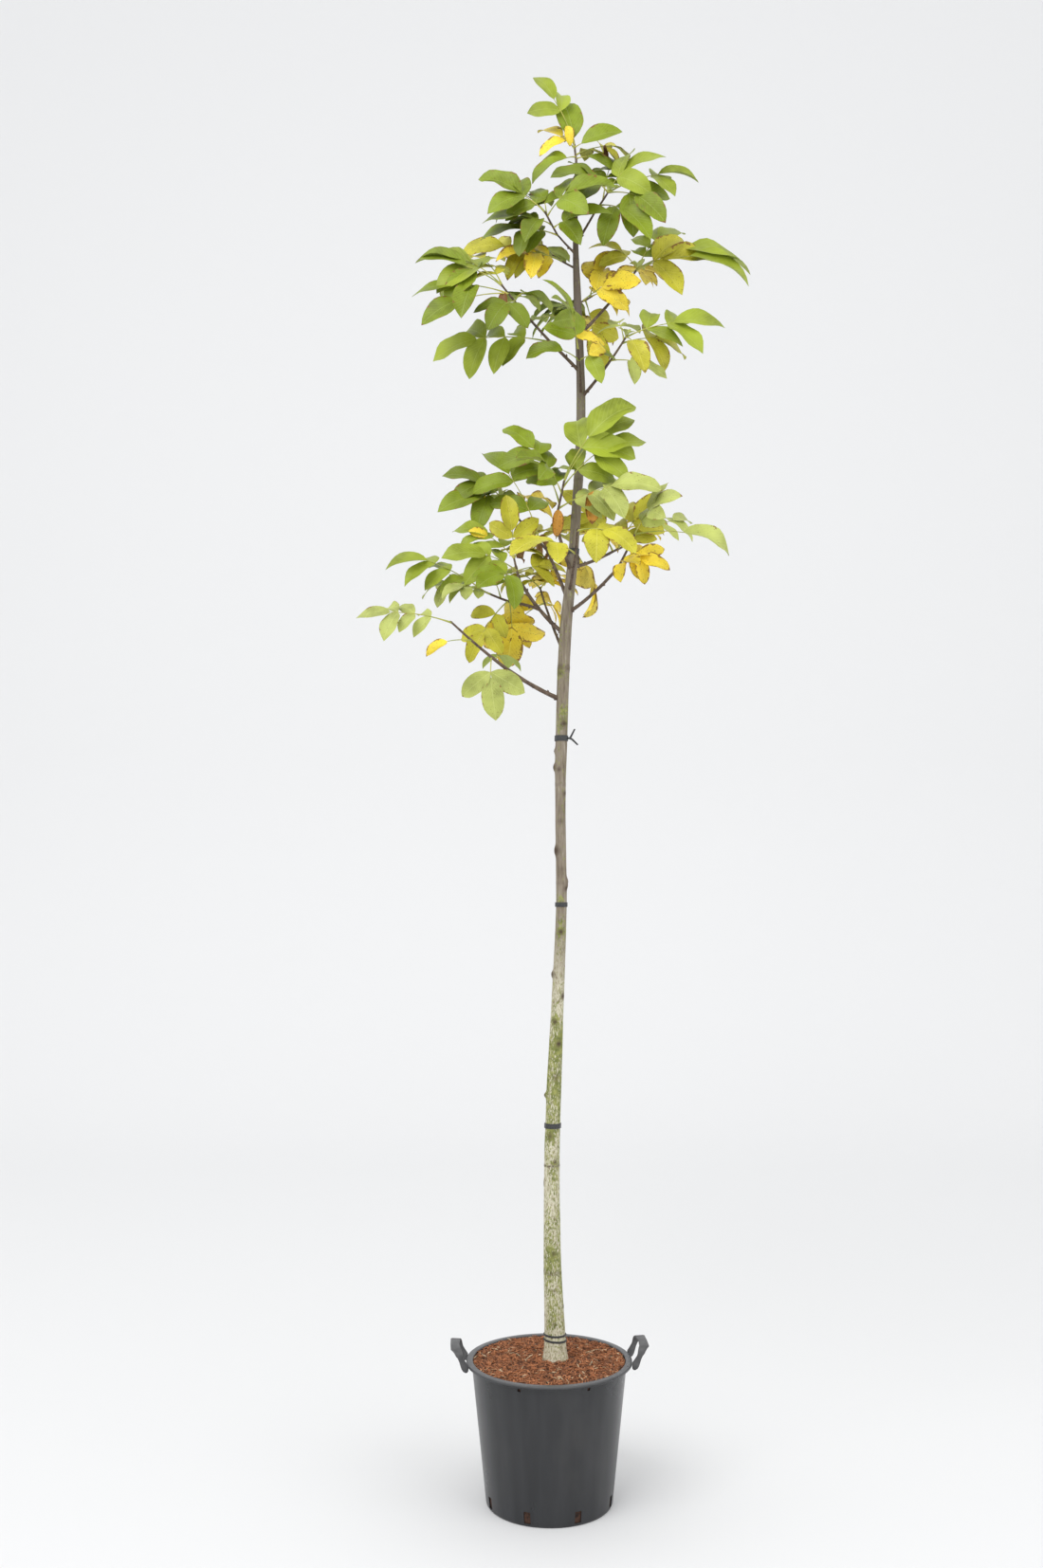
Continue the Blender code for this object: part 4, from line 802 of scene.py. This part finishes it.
# The foliage grows by one rule: a stem for each mass, leaf stalks that leave it, and leaflets in pairs with one at
# the end. A leaf's stalk swells at its root, and the leaflets sit on it without stalks of their own.
# Each leaf's row holds its place on the stem, bearing, rise, reach, pairs of leaflets and leaflet length.
FOLIAGE = {
    "leaves_low_left": ("bough_low_left", (196, 38, 0.190), (
        (1.00, 190, 8, 0.16, 3, 0.085, 46), (0.72, 208, -6, 0.070, 0, 0.068, 62),
        (0.45, 264, -70, 0.060, 1, 0.108, 62), (0.40, 80, 16, 0.09, 1, 0.070, 46))),
    "leaves_left_side": ("bough_left_side", (164, 24, 0.085), (
        (1.00, 176, 14, 0.105, 2, 0.085, 44), (1.00, 190, 27, 0.17, 3, 0.105, 44),
        (0.80, 225, 4, 0.10, 2, 0.065, 46), (0.50, 110, 46, 0.12, 2, 0.090, 52),
        (0.30, 214, -50, 0.12, 2, 0.090, 62), (0.25, 80, -62, 0.07, 2, 0.115, 64))),
    "leaves_left": ("bough_left", (150, 74, 0.075), (
        (0.60, 210, 20, 0.10, 2, 0.110, 46), (0.30, 245, -2, 0.10, 1, 0.100, 58),
        (0.60, 20, 16, 0.06, 1, 0.085, 54), (1.00, 60, 40, 0.07, 2, 0.085, 48),
        (1.00, 160, 42, 0.10, 2, 0.100, 48), (1.00, 262, 64, 0.075, 1, 0.090, 72))),
    "leaves_left_thin": ("bough_left_thin", (111, 55, 0.075), (
        (0.40, 60, 0, 0.05, 2, 0.100, 66), (1.00, 128, 32, 0.12, 3, 0.090, 50),
        (1.00, 60, 32, 0.08, 2, 0.095, 54), (0.40, 170, -30, 0.07, 2, 0.105, 64))),
    "leaves_left_high": ("bough_left_high", (146, 48, 0.225), (
        (0.35, 176, 66, 0.21, 2, 0.130, 52), (1.00, 194, 36, 0.07, 3, 0.105, 48),
        (1.00, 205, 4, 0.05, 1, 0.130, 46), (0.80, 40, 38, 0.08, 2, 0.095, 54),
        (0.40, 90, 14, 0.09, 2, 0.085, 52), (0.95, 110, 22, 0.12, 3, 0.085, 50))),
    "leaves_centre_left": ("bough_centre_left", (290, 56, 0.110), (
        (0.60, 192, 64, 0.155, 3, 0.105, 54), (1.00, 345, 60, 0.13, 1, 0.150, 52),
        (0.90, 350, 44, 0.13, 2, 0.120, 50), (0.50, 335, 16, 0.15, 3, 0.120, 50),
        (1.00, 352, 55, 0.13, 0, 0.140, 52), (1.00, 60, 58, 0.06, 1, 0.095, 52),
        (0.80, 240, 34, 0.10, 2, 0.095, 50))),
    "leaves_right": ("bough_right", (326, 58, 0.105), (
        (0.50, 340, -6, 0.045, 2, 0.078, 62), (0.25, 290, 10, 0.05, 1, 0.080, 60),
        (1.00, 0, 2, 0.125, 0, 0.125, 44), (1.00, 300, 36, 0.09, 2, 0.090, 60))),
    "leaves_right_high": ("bough_right_high", (26, 30, 0.130), (
        (0.15, 190, 56, 0.12, 3, 0.095, 50), (0.35, 330, 56, 0.09, 2, 0.100, 50),
        (1.00, 34, 28, 0.10, 2, 0.090, 58), (0.80, 70, 42, 0.13, 3, 0.090, 54))),
    "leaves_front_low": ("bough_front_low", (272, 34, 0.090), (
        (1.00, 318, -8, 0.085, 1, 0.115, 48), (0.45, 350, -14, 0.10, 0, 0.165, 8),
        (0.30, 232, 6, 0.12, 1, 0.115, 44))),
    "leaves_back_low": ("bough_back_low", (84, 44, 0.110), (
        (1.00, 92, 36, 0.15, 3, 0.100, 52), (0.45, 66, -24, 0.15, 2, 0.115, 60),
        (1.00, 62, 22, 0.15, 3, 0.100, 52), (0.80, 128, 24, 0.16, 3, 0.100, 52))),
    "leaves_up_right": ("bough_up_right", (325, 48, 0.075), (
        (1.00, 2, 18, 0.13, 2, 0.125, 52), (1.00, 290, -30, 0.04, 0, 0.105, 66),
        (0.20, 345, -8, 0.07, 1, 0.080, 44), (0.80, 12, 14, 0.09, 1, 0.110, 54),
        (0.90, 100, 54, 0.08, 1, 0.080, 56), (0.30, 220, 36, 0.05, 1, 0.080, 50))),
    "leaves_up_left": ("bough_up_left", (206, 42, 0.190), (
        (1.00, 176, 39, 0.105, 1, 0.145, 48), (1.00, 190, 26, 0.105, 1, 0.125, 47),
        (0.90, 196, 4, 0.13, 1, 0.130, 46), (0.90, 204, -16, 0.13, 0, 0.125, 56),
        (0.80, 236, -28, 0.05, 1, 0.095, 62), (1.00, 118, 46, 0.16, 3, 0.095, 50),
        (0.80, 70, 34, 0.10, 3, 0.095, 46), (0.08, 187, 0, 0.195, 3, 0.125, 58))),
    "leaves_front_up": ("bough_front_up", (262, 30, 0.060), (
        (1.00, 250, 56, 0.09, 2, 0.105, 48), (0.60, 205, 22, 0.05, 0, 0.095, 50),
        (0.60, 325, 8, 0.04, 1, 0.085, 46))),
    "leaves_back_up": ("bough_back_up", (92, 44, 0.090), (
        (1.00, 104, 34, 0.15, 3, 0.100, 50), (0.60, 58, 22, 0.15, 3, 0.095, 50),
        (0.80, 140, 16, 0.14, 3, 0.095, 50))),
    "leaves_top_right": ("bough_top_right", (27, 52, 0.105), (
        (1.00, 352, 20, 0.14, 0, 0.175, 48), (1.00, 22, 58, 0.12, 3, 0.105, 52),
        (0.95, 340, 18, 0.07, 1, 0.128, 60), (1.00, 205, 40, 0.06, 1, 0.090, 54),
        (0.80, 75, 32, 0.13, 3, 0.100, 50), (1.00, 345, 8, 0.145, 0, 0.165, 50))),
    "leaves_yellow_right": ("trunk", (3.100, 62, 30, 0.100), (
        (1.00, 28, 26, 0.06, 2, 0.100, 62), (0.35, 342, 30, 0.06, 1, 0.105, 60),
        (0.55, 40, -72, 0.08, 2, 0.100, 66), (0.90, 335, 70, 0.06, 1, 0.088, 60))),
    "leaves_upper_back": ("trunk", (3.195, 150, 36, 0.085), (
        (0.80, 180, 14, 0.15, 3, 0.115, 64), (1.00, 104, 30, 0.15, 3, 0.100, 50),
        (0.60, 208, 4, 0.09, 2, 0.105, 54))),
    "leaves_leader_right": ("bough_leader_right", (345, 54, 0.065), (
        (1.00, 212, 28, 0.06, 1, 0.110, 46), (1.00, 322, 42, 0.06, 1, 0.125, 58),
        (1.00, 325, -20, 0.09, 1, 0.120, 62), (0.70, 70, 62, 0.14, 3, 0.085, 48),
        (1.00, 354, 18, 0.14, 2, 0.110, 46), (0.50, 315, -24, 0.08, 1, 0.110, 60))),
    "leaves_leader_left": ("bough_leader_left", (230, 40, 0.070), (
        (1.00, 184, 38, 0.08, 2, 0.120, 52), (0.20, 188, 8, 0.09, 2, 0.110, 48),
        (1.00, 136, 44, 0.12, 2, 0.105, 52), (0.90, 322, 38, 0.07, 1, 0.130, 56),
        (0.60, 198, 14, 0.05, 1, 0.120, 48), (0.50, 335, 20, 0.04, 1, 0.105, 52),
        (0.95, 110, 70, 0.05, 1, 0.088, 62))),
    "leaves_leader": ("trunk tip", (180, 84, 0.045), (
        (0.90, 192, 66, 0.140, 1, 0.096, 56), (1.00, 200, 82, 0.02, 0, 0.125, 74),
        (0.80, 172, 48, 0.05, 1, 0.085, 56), (0.90, 335, 20, 0.02, 0, 0.098, 76),
        (0.40, 212, -22, 0.04, 1, 0.100, 48), (0.30, 345, 4, 0.03, 0, 0.100, 50),
        (0.50, 24, 26, 0.10, 2, 0.090, 48))),
}
SEED = 20
STEM_SIDES = 8
STEM_RINGS = 4
STEM_TURN = 6
STEM_KNEE = 0.006
STEM_ROOT_RADIUS = 0.0032
STEM_TIP_RADIUS = 0.0026
STALK_ROOT_RADIUS = 0.0018
STALK_TIP_RADIUS = 0.0010
STALK_SAG = 10
STALK_RINGS = 5
STALK_SIDES = 6
FIRST_PAIR = 0.15
PAIR_ROOM = 0.60
LAST_PAIR = 0.88
LEAN_JITTER = 8
LEAFLET_WIDTH = 0.52
LEAFLET_STATIONS = ((0.30, 0.98), (0.72, 0.80))
LEAFLET_BEND = 48
LEAFLET_SPREAD = 54
LEAFLET_DROP = 4
LEAFLET_LOUVRE = 14
LEAFLET_TRIES = 4
BASAL_SHARE = 0.70
TERMINAL_SHARE = 1.12
TURN_JITTER = 11
SIZE_JITTER = 0.08
FOUND_WITHIN = 0.0004
# Tint of each leaf, in the order of its rows: green, bright, deep, pale, yellow, w for yellow-green, n for brown
TINT_ROWS = {
    "leaves_low_left": "pypb", "leaves_left_side": "pbpgwy", "leaves_left": "bgwwbw", "leaves_left_thin": "ywyy",
    "leaves_left_high": "gdgynd", "leaves_centre_left": "gbbpbbg", "leaves_right": "yypp",
    "leaves_right_high": "wwpy", "leaves_front_low": "wyw", "leaves_back_low": "wyyw",
    "leaves_up_right": "bwpwpy", "leaves_up_left": "bgggdwgb", "leaves_front_up": "ggb", "leaves_back_up": "dyg",
    "leaves_top_right": "bbwwyb", "leaves_yellow_right": "yywy", "leaves_upper_back": "wgy",
    "leaves_leader_right": "dbgdbg", "leaves_leader_left": "gddgdgg", "leaves_leader": "bgygggw"}
# Word, upper side, underside, and share of brown spots of each tint
TINTS = {"g": ("green", (0.182, 0.240, 0.009), (0.30, 0.36, 0.075), 0.08),
         "b": ("bright", (0.254, 0.310, 0.024), (0.37, 0.44, 0.10), 0.0),
         "d": ("deep", (0.138, 0.182, 0.008), (0.25, 0.31, 0.065), 0.08),
         "p": ("pale", (0.385, 0.428, 0.106), (0.47, 0.53, 0.19), 0.05),
         "y": ("yellow", (0.750, 0.555, 0.038), (0.76, 0.61, 0.11), 0.46),
         "w": ("yellow_green", (0.440, 0.410, 0.028), (0.50, 0.50, 0.09), 0.26),
         "o": ("rusty", (0.560, 0.270, 0.040), (0.60, 0.34, 0.10), 0.60),
         "n": ("brown", (0.210, 0.100, 0.035), (0.28, 0.16, 0.07), 0.70)}
# Half width of a leaflet at even steps from its foot to its tip, as a share of the widest
BLADE_PROFILE = (0.0, 0.48, 0.77, 0.94, 1.0, 1.0, 0.96, 0.86, 0.68, 0.38, 0.0)
BLADE_COLUMNS = 4
BLADE_THICKNESS = 0.0006
STALK_SWELL = 1.7
# Odd leaves that hang on: across and height where each one is seen, length, tint and how far it has curled
ODD_LEAVES = ((0.157, 3.549, 0.056, "n", 0.8), (0.240, 3.380, 0.040, "n", 1.0), (0.140, 3.278, 0.052, "n", 0.9),
              (-0.118, 3.060, 0.064, "n", 0.3), (0.110, 2.515, 0.088, "o", 0.1), (0.015, 2.440, 0.075, "o", 0.2),
              (-0.235, 2.610, 0.050, "y", 0.1), (-0.222, 2.535, 0.058, "y", 0.1), (0.060, 3.560, 0.060, "y", 0.2))
# How far the tip of an odd leaf hangs out in front of where it is fixed
ODD_REACH = 0.030
# Masses whose shoot still opens new leaves, and how long, wide-set and many those are
NEW_LEAVES = ("leaves_leader_right", "leaves_top_right", "leaves_up_right", "leaves_left_high", "leaves_right_high")
NEW_LENGTH, NEW_SPREAD, NEW_COUNT = 0.036, 24, 4


def stalk_frame(route, share, light):
    """Point, heading and upper face of a leaf stalk at a share of its length."""
    last = len(route) - 1
    i = min(int(share * last), last - 1)
    along = (route[i + 1] - route[i]).normalized()
    face = (light - along * light.dot(along)).normalized()
    return route[i].lerp(route[i + 1], share * last - i), along, face


def compound_leaf(start, row, rng):
    """A leaf's route, light and pair shares, and for each leaflet the ways it may hang."""
    _, bearing, rise, reach, pairs, size, lean = row
    route = limb_route(start, bearing, rise, reach, -2 * STALK_SAG, STALK_RINGS)
    lean = math.radians(lean + rng.uniform(-LEAN_JITTER, LEAN_JITTER))
    light = Vector((0, -math.sin(lean), math.cos(lean)))
    first = FIRST_PAIR + PAIR_ROOM / max(pairs, 1)
    shares = [first + (LAST_PAIR - first) * k / max(pairs - 1, 1) for k in range(pairs)]
    blades = []
    for k, share in enumerate(shares):
        scale = BASAL_SHARE + (1 - BASAL_SHARE) * (k + 1) / pairs
        for side in (-1, 1):
            blades.append([turned_blade(*stalk_frame(route, share, light), side, size * scale, rng)
                           for _ in range(LEAFLET_TRIES)])
    blades.append([turned_blade(*stalk_frame(route, 1, light), 0, size * TERMINAL_SHARE, rng)
                   for _ in range(LEAFLET_TRIES)])
    return route, light, shares, blades


def turned_blade(point, along, face, side, length, rng):
    """One way a leaflet may hang from its stalk: side is -1 or 1, or 0 for the end leaflet."""
    spread = math.radians(side * LEAFLET_SPREAD + rng.uniform(-TURN_JITTER, TURN_JITTER))
    drop = math.radians(LEAFLET_DROP + rng.uniform(-TURN_JITTER, TURN_JITTER))
    length *= 1 + rng.uniform(-SIZE_JITTER, SIZE_JITTER)
    across = along.cross(face)
    out = math.cos(spread) * along + math.sin(spread) * across
    down = (math.cos(drop) * out - math.sin(drop) * face).normalized()
    normal = face + math.tan(math.radians(LEAFLET_LOUVRE)) * abs(side) * along
    normal = (normal - down * normal.dot(down)).normalized()
    return point, down, normal, length


def stem_of(parent, stem):
    """The route and radii of a mass's own stem."""
    if parent == "trunk":
        height, bearing, rise, length = stem
        start, _ = trunk_at(height)
        route = limb_route(start, bearing, rise, length, STEM_TURN, STEM_RINGS)
        return route, [STEM_ROOT_RADIUS] + [STEM_TIP_RADIUS] * (STEM_RINGS - 1)
    if parent == "trunk tip":
        start, root = trunk_at(TRUNK_ROUTE[-1][0])
        first = UP
    else:
        points, radii = limbs[parent]
        start, root = points[-1], radii[-1]
        first = (points[-1] - points[-2]).normalized()
    bearing, rise, length = stem
    start = start + first * GAP
    knee = start + first * STEM_KNEE
    route = [start] + limb_route(knee, bearing, rise, length - STEM_KNEE, STEM_TURN, STEM_RINGS)
    return route, [root + (STEM_TIP_RADIUS - root) * i / (len(route) - 1) for i in range(len(route))]


def blade_spine(way, share, bend=LEAFLET_BEND):
    """A point on a leaflet's midrib, and the heading there."""
    root, along, face, length = way
    bend = math.radians(bend)
    turn = bend * share
    point = root + length / bend * (math.sin(turn) * along - (1 - math.cos(turn)) * face)
    return point, math.cos(turn) * along - math.sin(turn) * face


def solid_points(way):
    """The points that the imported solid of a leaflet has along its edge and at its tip."""
    across = way[1].cross(way[2]).normalized()
    half = LEAFLET_WIDTH * way[3] / 2
    points = [blade_spine(way, 1)[0]]
    for share, width in LEAFLET_STATIONS:
        for side in (-1, 1):
            points.append(blade_spine(way, share)[0] + side * across * half * width)
    return points


def blade_mesh(store, way, rng, dry=0.0, slim=1.0):
    """One leaflet: an upper and an under surface that come close along the edge but are not joined, folded, waved and,
    where dry, curled.
    """
    _, along, face, length = way
    across = along.cross(face).normalized()
    half = LEAFLET_WIDTH * length / 2 * slim
    steps = len(BLADE_PROFILE) - 1
    fold = rng.uniform(0.08, 0.46) + dry * 1.1
    wave, phase = rng.uniform(0.012, 0.042) * (1 + dry), rng.uniform(0, 6.28)
    bend = LEAFLET_BEND + rng.uniform(-8, 16) + dry * 55
    twist = rng.uniform(-0.30, 0.30) * (1 + dry)
    base = len(store["verts"])
    for layer in (1, -1):
        for i, width in enumerate(BLADE_PROFILE):
            share = i / steps
            point, forward = blade_spine(way, share, bend)
            normal = across.cross(forward).normalized()
            if normal.dot(face) < 0:
                normal = -normal
            turn = twist * share
            wide = math.cos(turn) * across + math.sin(turn) * normal
            rise = math.cos(turn) * normal - math.sin(turn) * across
            for k in range(BLADE_COLUMNS + 1):
                side = 2 * k / BLADE_COLUMNS - 1
                tuck = math.cos(fold * abs(side))
                lift = math.sin(fold) * abs(side)**1.2 * half * width
                lift += wave * length * abs(side)**1.5 * width * math.sin(phase + share * 10 + side * 1.4)
                thick = layer * BLADE_THICKNESS / 2 * min(1.0, 2 * (1 - abs(side)) + 0.05)
                store["verts"].append(point + wide * side * half * width * tuck + rise * (lift + thick))
                store["coords"].append((0.5 + side * width / 2, share))
                store["rims"].append(max(abs(side), 2.2 * share - 1.2) * width**0.2 if width else 1.0)
    row = BLADE_COLUMNS + 1
    sheet = row * (steps + 1)
    for i in range(steps):
        for k in range(BLADE_COLUMNS):
            a, b = base + i * row + k, base + i * row + k + 1
            c, d = b + row, a + row
            store["faces"] += [(a, d, c, b), (a + sheet, b + sheet, c + sheet, d + sheet)]
            store["layers"] += [0, 1]


def leaf_finish(name, colour, spots, roughness, veins):
    """A leaf's skin in one base colour, uneven in tone, with pale veins that are partly painted sheen and, where it
    ages, brown spots and edges.
    """
    made = Finish(name, colour, roughness)
    made.shader.inputs["Specular IOR Level"].default_value = 0.25
    coords = made.tree.nodes.new("ShaderNodeUVMap")
    coords.uv_map = "blade"
    split = made.tree.nodes.new("ShaderNodeSeparateXYZ")
    made.tree.links.new(coords.outputs["UV"], split.inputs["Vector"])
    off = made.maths("ABSOLUTE", made.maths("SUBTRACT", split.outputs["X"], 0.5))
    midrib = made.maths("SUBTRACT", 1.0, made.maths("MULTIPLY", off, 48), True)
    fan = made.maths("SUBTRACT", made.maths("MULTIPLY", split.outputs["Y"], 12), made.maths("MULTIPLY", off, 8))
    ripple = made.maths("ABSOLUTE", made.maths("SUBTRACT", made.maths("FRACT", fan), 0.5))
    side_vein = made.maths("SUBTRACT", 1.0, made.maths("MULTIPLY", ripple, 9), True)
    ribs = made.maths("MAXIMUM", midrib, made.maths("MULTIPLY", side_vein, 0.45))
    tone = made.mix(made.ramp(made.cloud(9, detail=1), ((0.32, 0.0), (0.68, 1.0))), tuple(c * 0.70 for c in colour),
                    tuple(min(1.0, c * 1.26) for c in colour))
    tone = made.mix(made.ramp(made.cloud(46, detail=3), ((0.36, 0.0), (0.64, 0.30))), tone,
                    tuple(min(1.0, c * 1.5 + 0.02) for c in colour))
    # The veins are paler than the blade and are brightened further to stand in for the leaves' sheen: partly real vein
    # colour, partly painted highlight.
    light = tuple(min(0.9, c * 1.35 + 0.09) for c in colour)
    skin = made.mix(made.maths("MULTIPLY", ribs, veins), tone, light)
    if spots:
        edge = made.maths("MULTIPLY", made.maths("SUBTRACT", made.value("rim"), 0.62), 0.75)
        blotch = made.maths("ADD", made.cloud(75, detail=3, roughness=0.6), edge)
        rust = made.ramp(blotch, ((0.80 - 0.32 * spots, 0.0), (0.84 - 0.30 * spots, 1.0)))
        speck = made.ramp(made.cloud(260, detail=1), ((0.70 - 0.06 * spots, 0.0), (0.73 - 0.06 * spots, 1.0)))
        skin = made.mix(made.maths("MULTIPLY", rust, 0.85), skin, (0.20, 0.085, 0.022))
        skin = made.mix(made.maths("MULTIPLY", speck, 0.7), skin, (0.13, 0.060, 0.018))
    made.paint(skin)
    made.relief(made.maths("SUBTRACT", made.maths("MULTIPLY", made.cloud(190, detail=1), 0.35), ribs), 0.0007, 0.55)
    return made.material


def empty_store():
    """What one tint's joined mesh is built from."""
    return {"verts": [], "faces": [], "layers": [], "coords": [], "rims": [], "masses": []}


sprays = {tint: empty_store() for tint in TINTS}
stems, stalks = ([], []), ([], [])
for number, (name, (parent, stem, leaves)) in enumerate(FOLIAGE.items()):
    rng = random.Random(SEED + number)
    shape_rng = random.Random(1000 + number)
    route, radii = stem_of(parent, stem)
    add_solid(stems, *tube(*finer(route, radii, 4, 0.08), STEM_SIDES))
    tip_along = (route[-1] - route[-2]).normalized()
    bud_spots.append((route[-1] - tip_along * 0.002, tip_along, 1.25))
    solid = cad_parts[name].data
    near = kdtree.KDTree(len(solid.vertices))
    for vert in solid.vertices:
        near.insert(vert.co, vert.index)
    near.balance()
    for row, tint in zip(leaves, TINT_ROWS[name]):
        place = row[0] * (len(route) - 1)
        i = min(int(place), len(route) - 2)
        leaf_route, light, shares, blades = compound_leaf(route[i].lerp(route[i + 1], place - i), row, rng)
        store = sprays[tint]
        hung = 0
        for ways in blades:
            found = [sum(near.find(point)[2] < FOUND_WITHIN for point in solid_points(way)) for way in ways]
            if not max(found):
                continue
            blade_mesh(store, ways[found.index(max(found))], shape_rng, 1.0 if tint == "n" else 0.0)
            hung += 1
        if hung:
            radii = [STALK_ROOT_RADIUS + (STALK_TIP_RADIUS - STALK_ROOT_RADIUS) * k / (len(leaf_route) - 1)
                     for k in range(len(leaf_route))]
            radii[0] *= STALK_SWELL
            add_solid(stalks, *tube(*finer(leaf_route, radii, 4), STALK_SIDES))
            if name not in store["masses"]:
                store["masses"].append(name)
    if name in NEW_LEAVES:
        side = tip_along.cross(UP if abs(tip_along.z) < 0.9 else Vector((1, 0, 0))).normalized()
        for k in range(NEW_COUNT):
            turn = 2 * math.pi * (k + 0.4 * shape_rng.random()) / NEW_COUNT
            lean = math.radians(NEW_SPREAD * shape_rng.uniform(0.5, 1.3))
            out = math.cos(turn) * side + math.sin(turn) * tip_along.cross(side)
            up = (tip_along * 0.6 + UP * 0.8).normalized()
            along = (math.cos(lean) * up + math.sin(lean) * out).normalized()
            face = (out * -1 - along * along.dot(out * -1)).normalized()
            way = (route[-1], along, face, NEW_LENGTH * shape_rng.uniform(0.7, 1.15))
            blade_mesh(sprays["p"], way, shape_rng, 0.25, 0.8)

rng = random.Random(2000)
near = kdtree.KDTree(len(stalks[0]))
for number, vert in enumerate(stalks[0]):
    near.insert((vert.x, max(0.0, vert.y), vert.z), number)
near.balance()
for across, height, length, tint, dry in ODD_LEAVES:
    root = stalks[0][near.find((across, 0, height + length / 2))[1]]
    along = (Vector((across, root.y - ODD_REACH, height - length / 2)) - root).normalized()
    face = (Vector((0, -1, 0)) - along * -along.y).normalized()
    blade_mesh(sprays[tint], (root, along, face, length), rng, dry, 1.0 - 0.2 * dry)

# Walnut buds are small, dark and scaly: one sits above each scar along a shoot, and a larger one closes its tip.
buds = ([], [])
for spot, along, scale in bud_spots:
    route = [spot + along * BUD_LENGTH * scale * share for share in (0, 0.25, 0.55, 0.85, 1.0)]
    add_solid(buds, *tube(route, [BUD_RADIUS * scale * share for share in (0.65, 1.0, 0.95, 0.5, 0.12)], 8))
for label, store, finish, slot in (("walnut_twigs", stems, shoot.material, "bough_bark"),
                                   ("walnut_buds", buds, shoot.material, "bough_bark")):
    piece = new_object(label, *store, [finish], 60)
    outward(piece.data)
    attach(piece, "root")
stem_green = Finish("leaf_stalk", (0.34, 0.36, 0.06), 0.5)
stem_green.paint(stem_green.ramp(stem_green.cloud(30), ((0.35, (0.24, 0.29, 0.040)), (0.65, (0.50, 0.46, 0.10)))))
piece = new_object("leaf_stalks", *stalks, [stem_green.material])
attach(piece, "root")

# Leaves of one tint are one piece: the autumn colours go by spray, as they do on the plant.
for tint, (word, colour, under, spots) in TINTS.items():
    store = sprays[tint]
    finishes = [leaf_finish("leaf_" + word, colour, spots, 0.42, 0.60),
                leaf_finish("leaf_under_" + word, under, spots, 0.72, 0.38)]
    piece = new_object("walnut_leaves_" + word, store["verts"], store["faces"], finishes)
    piece.data.polygons.foreach_set("material_index", store["layers"])
    layer = piece.data.uv_layers.new(name="blade")
    for loop in piece.data.loops:
        layer.data[loop.index].uv = store["coords"][loop.vertex_index]
    piece.data.attributes.new("rim", "FLOAT", "POINT").data.foreach_set("value", store["rims"])
    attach(piece, "root")
    if store["masses"]:
        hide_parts(*store["masses"])
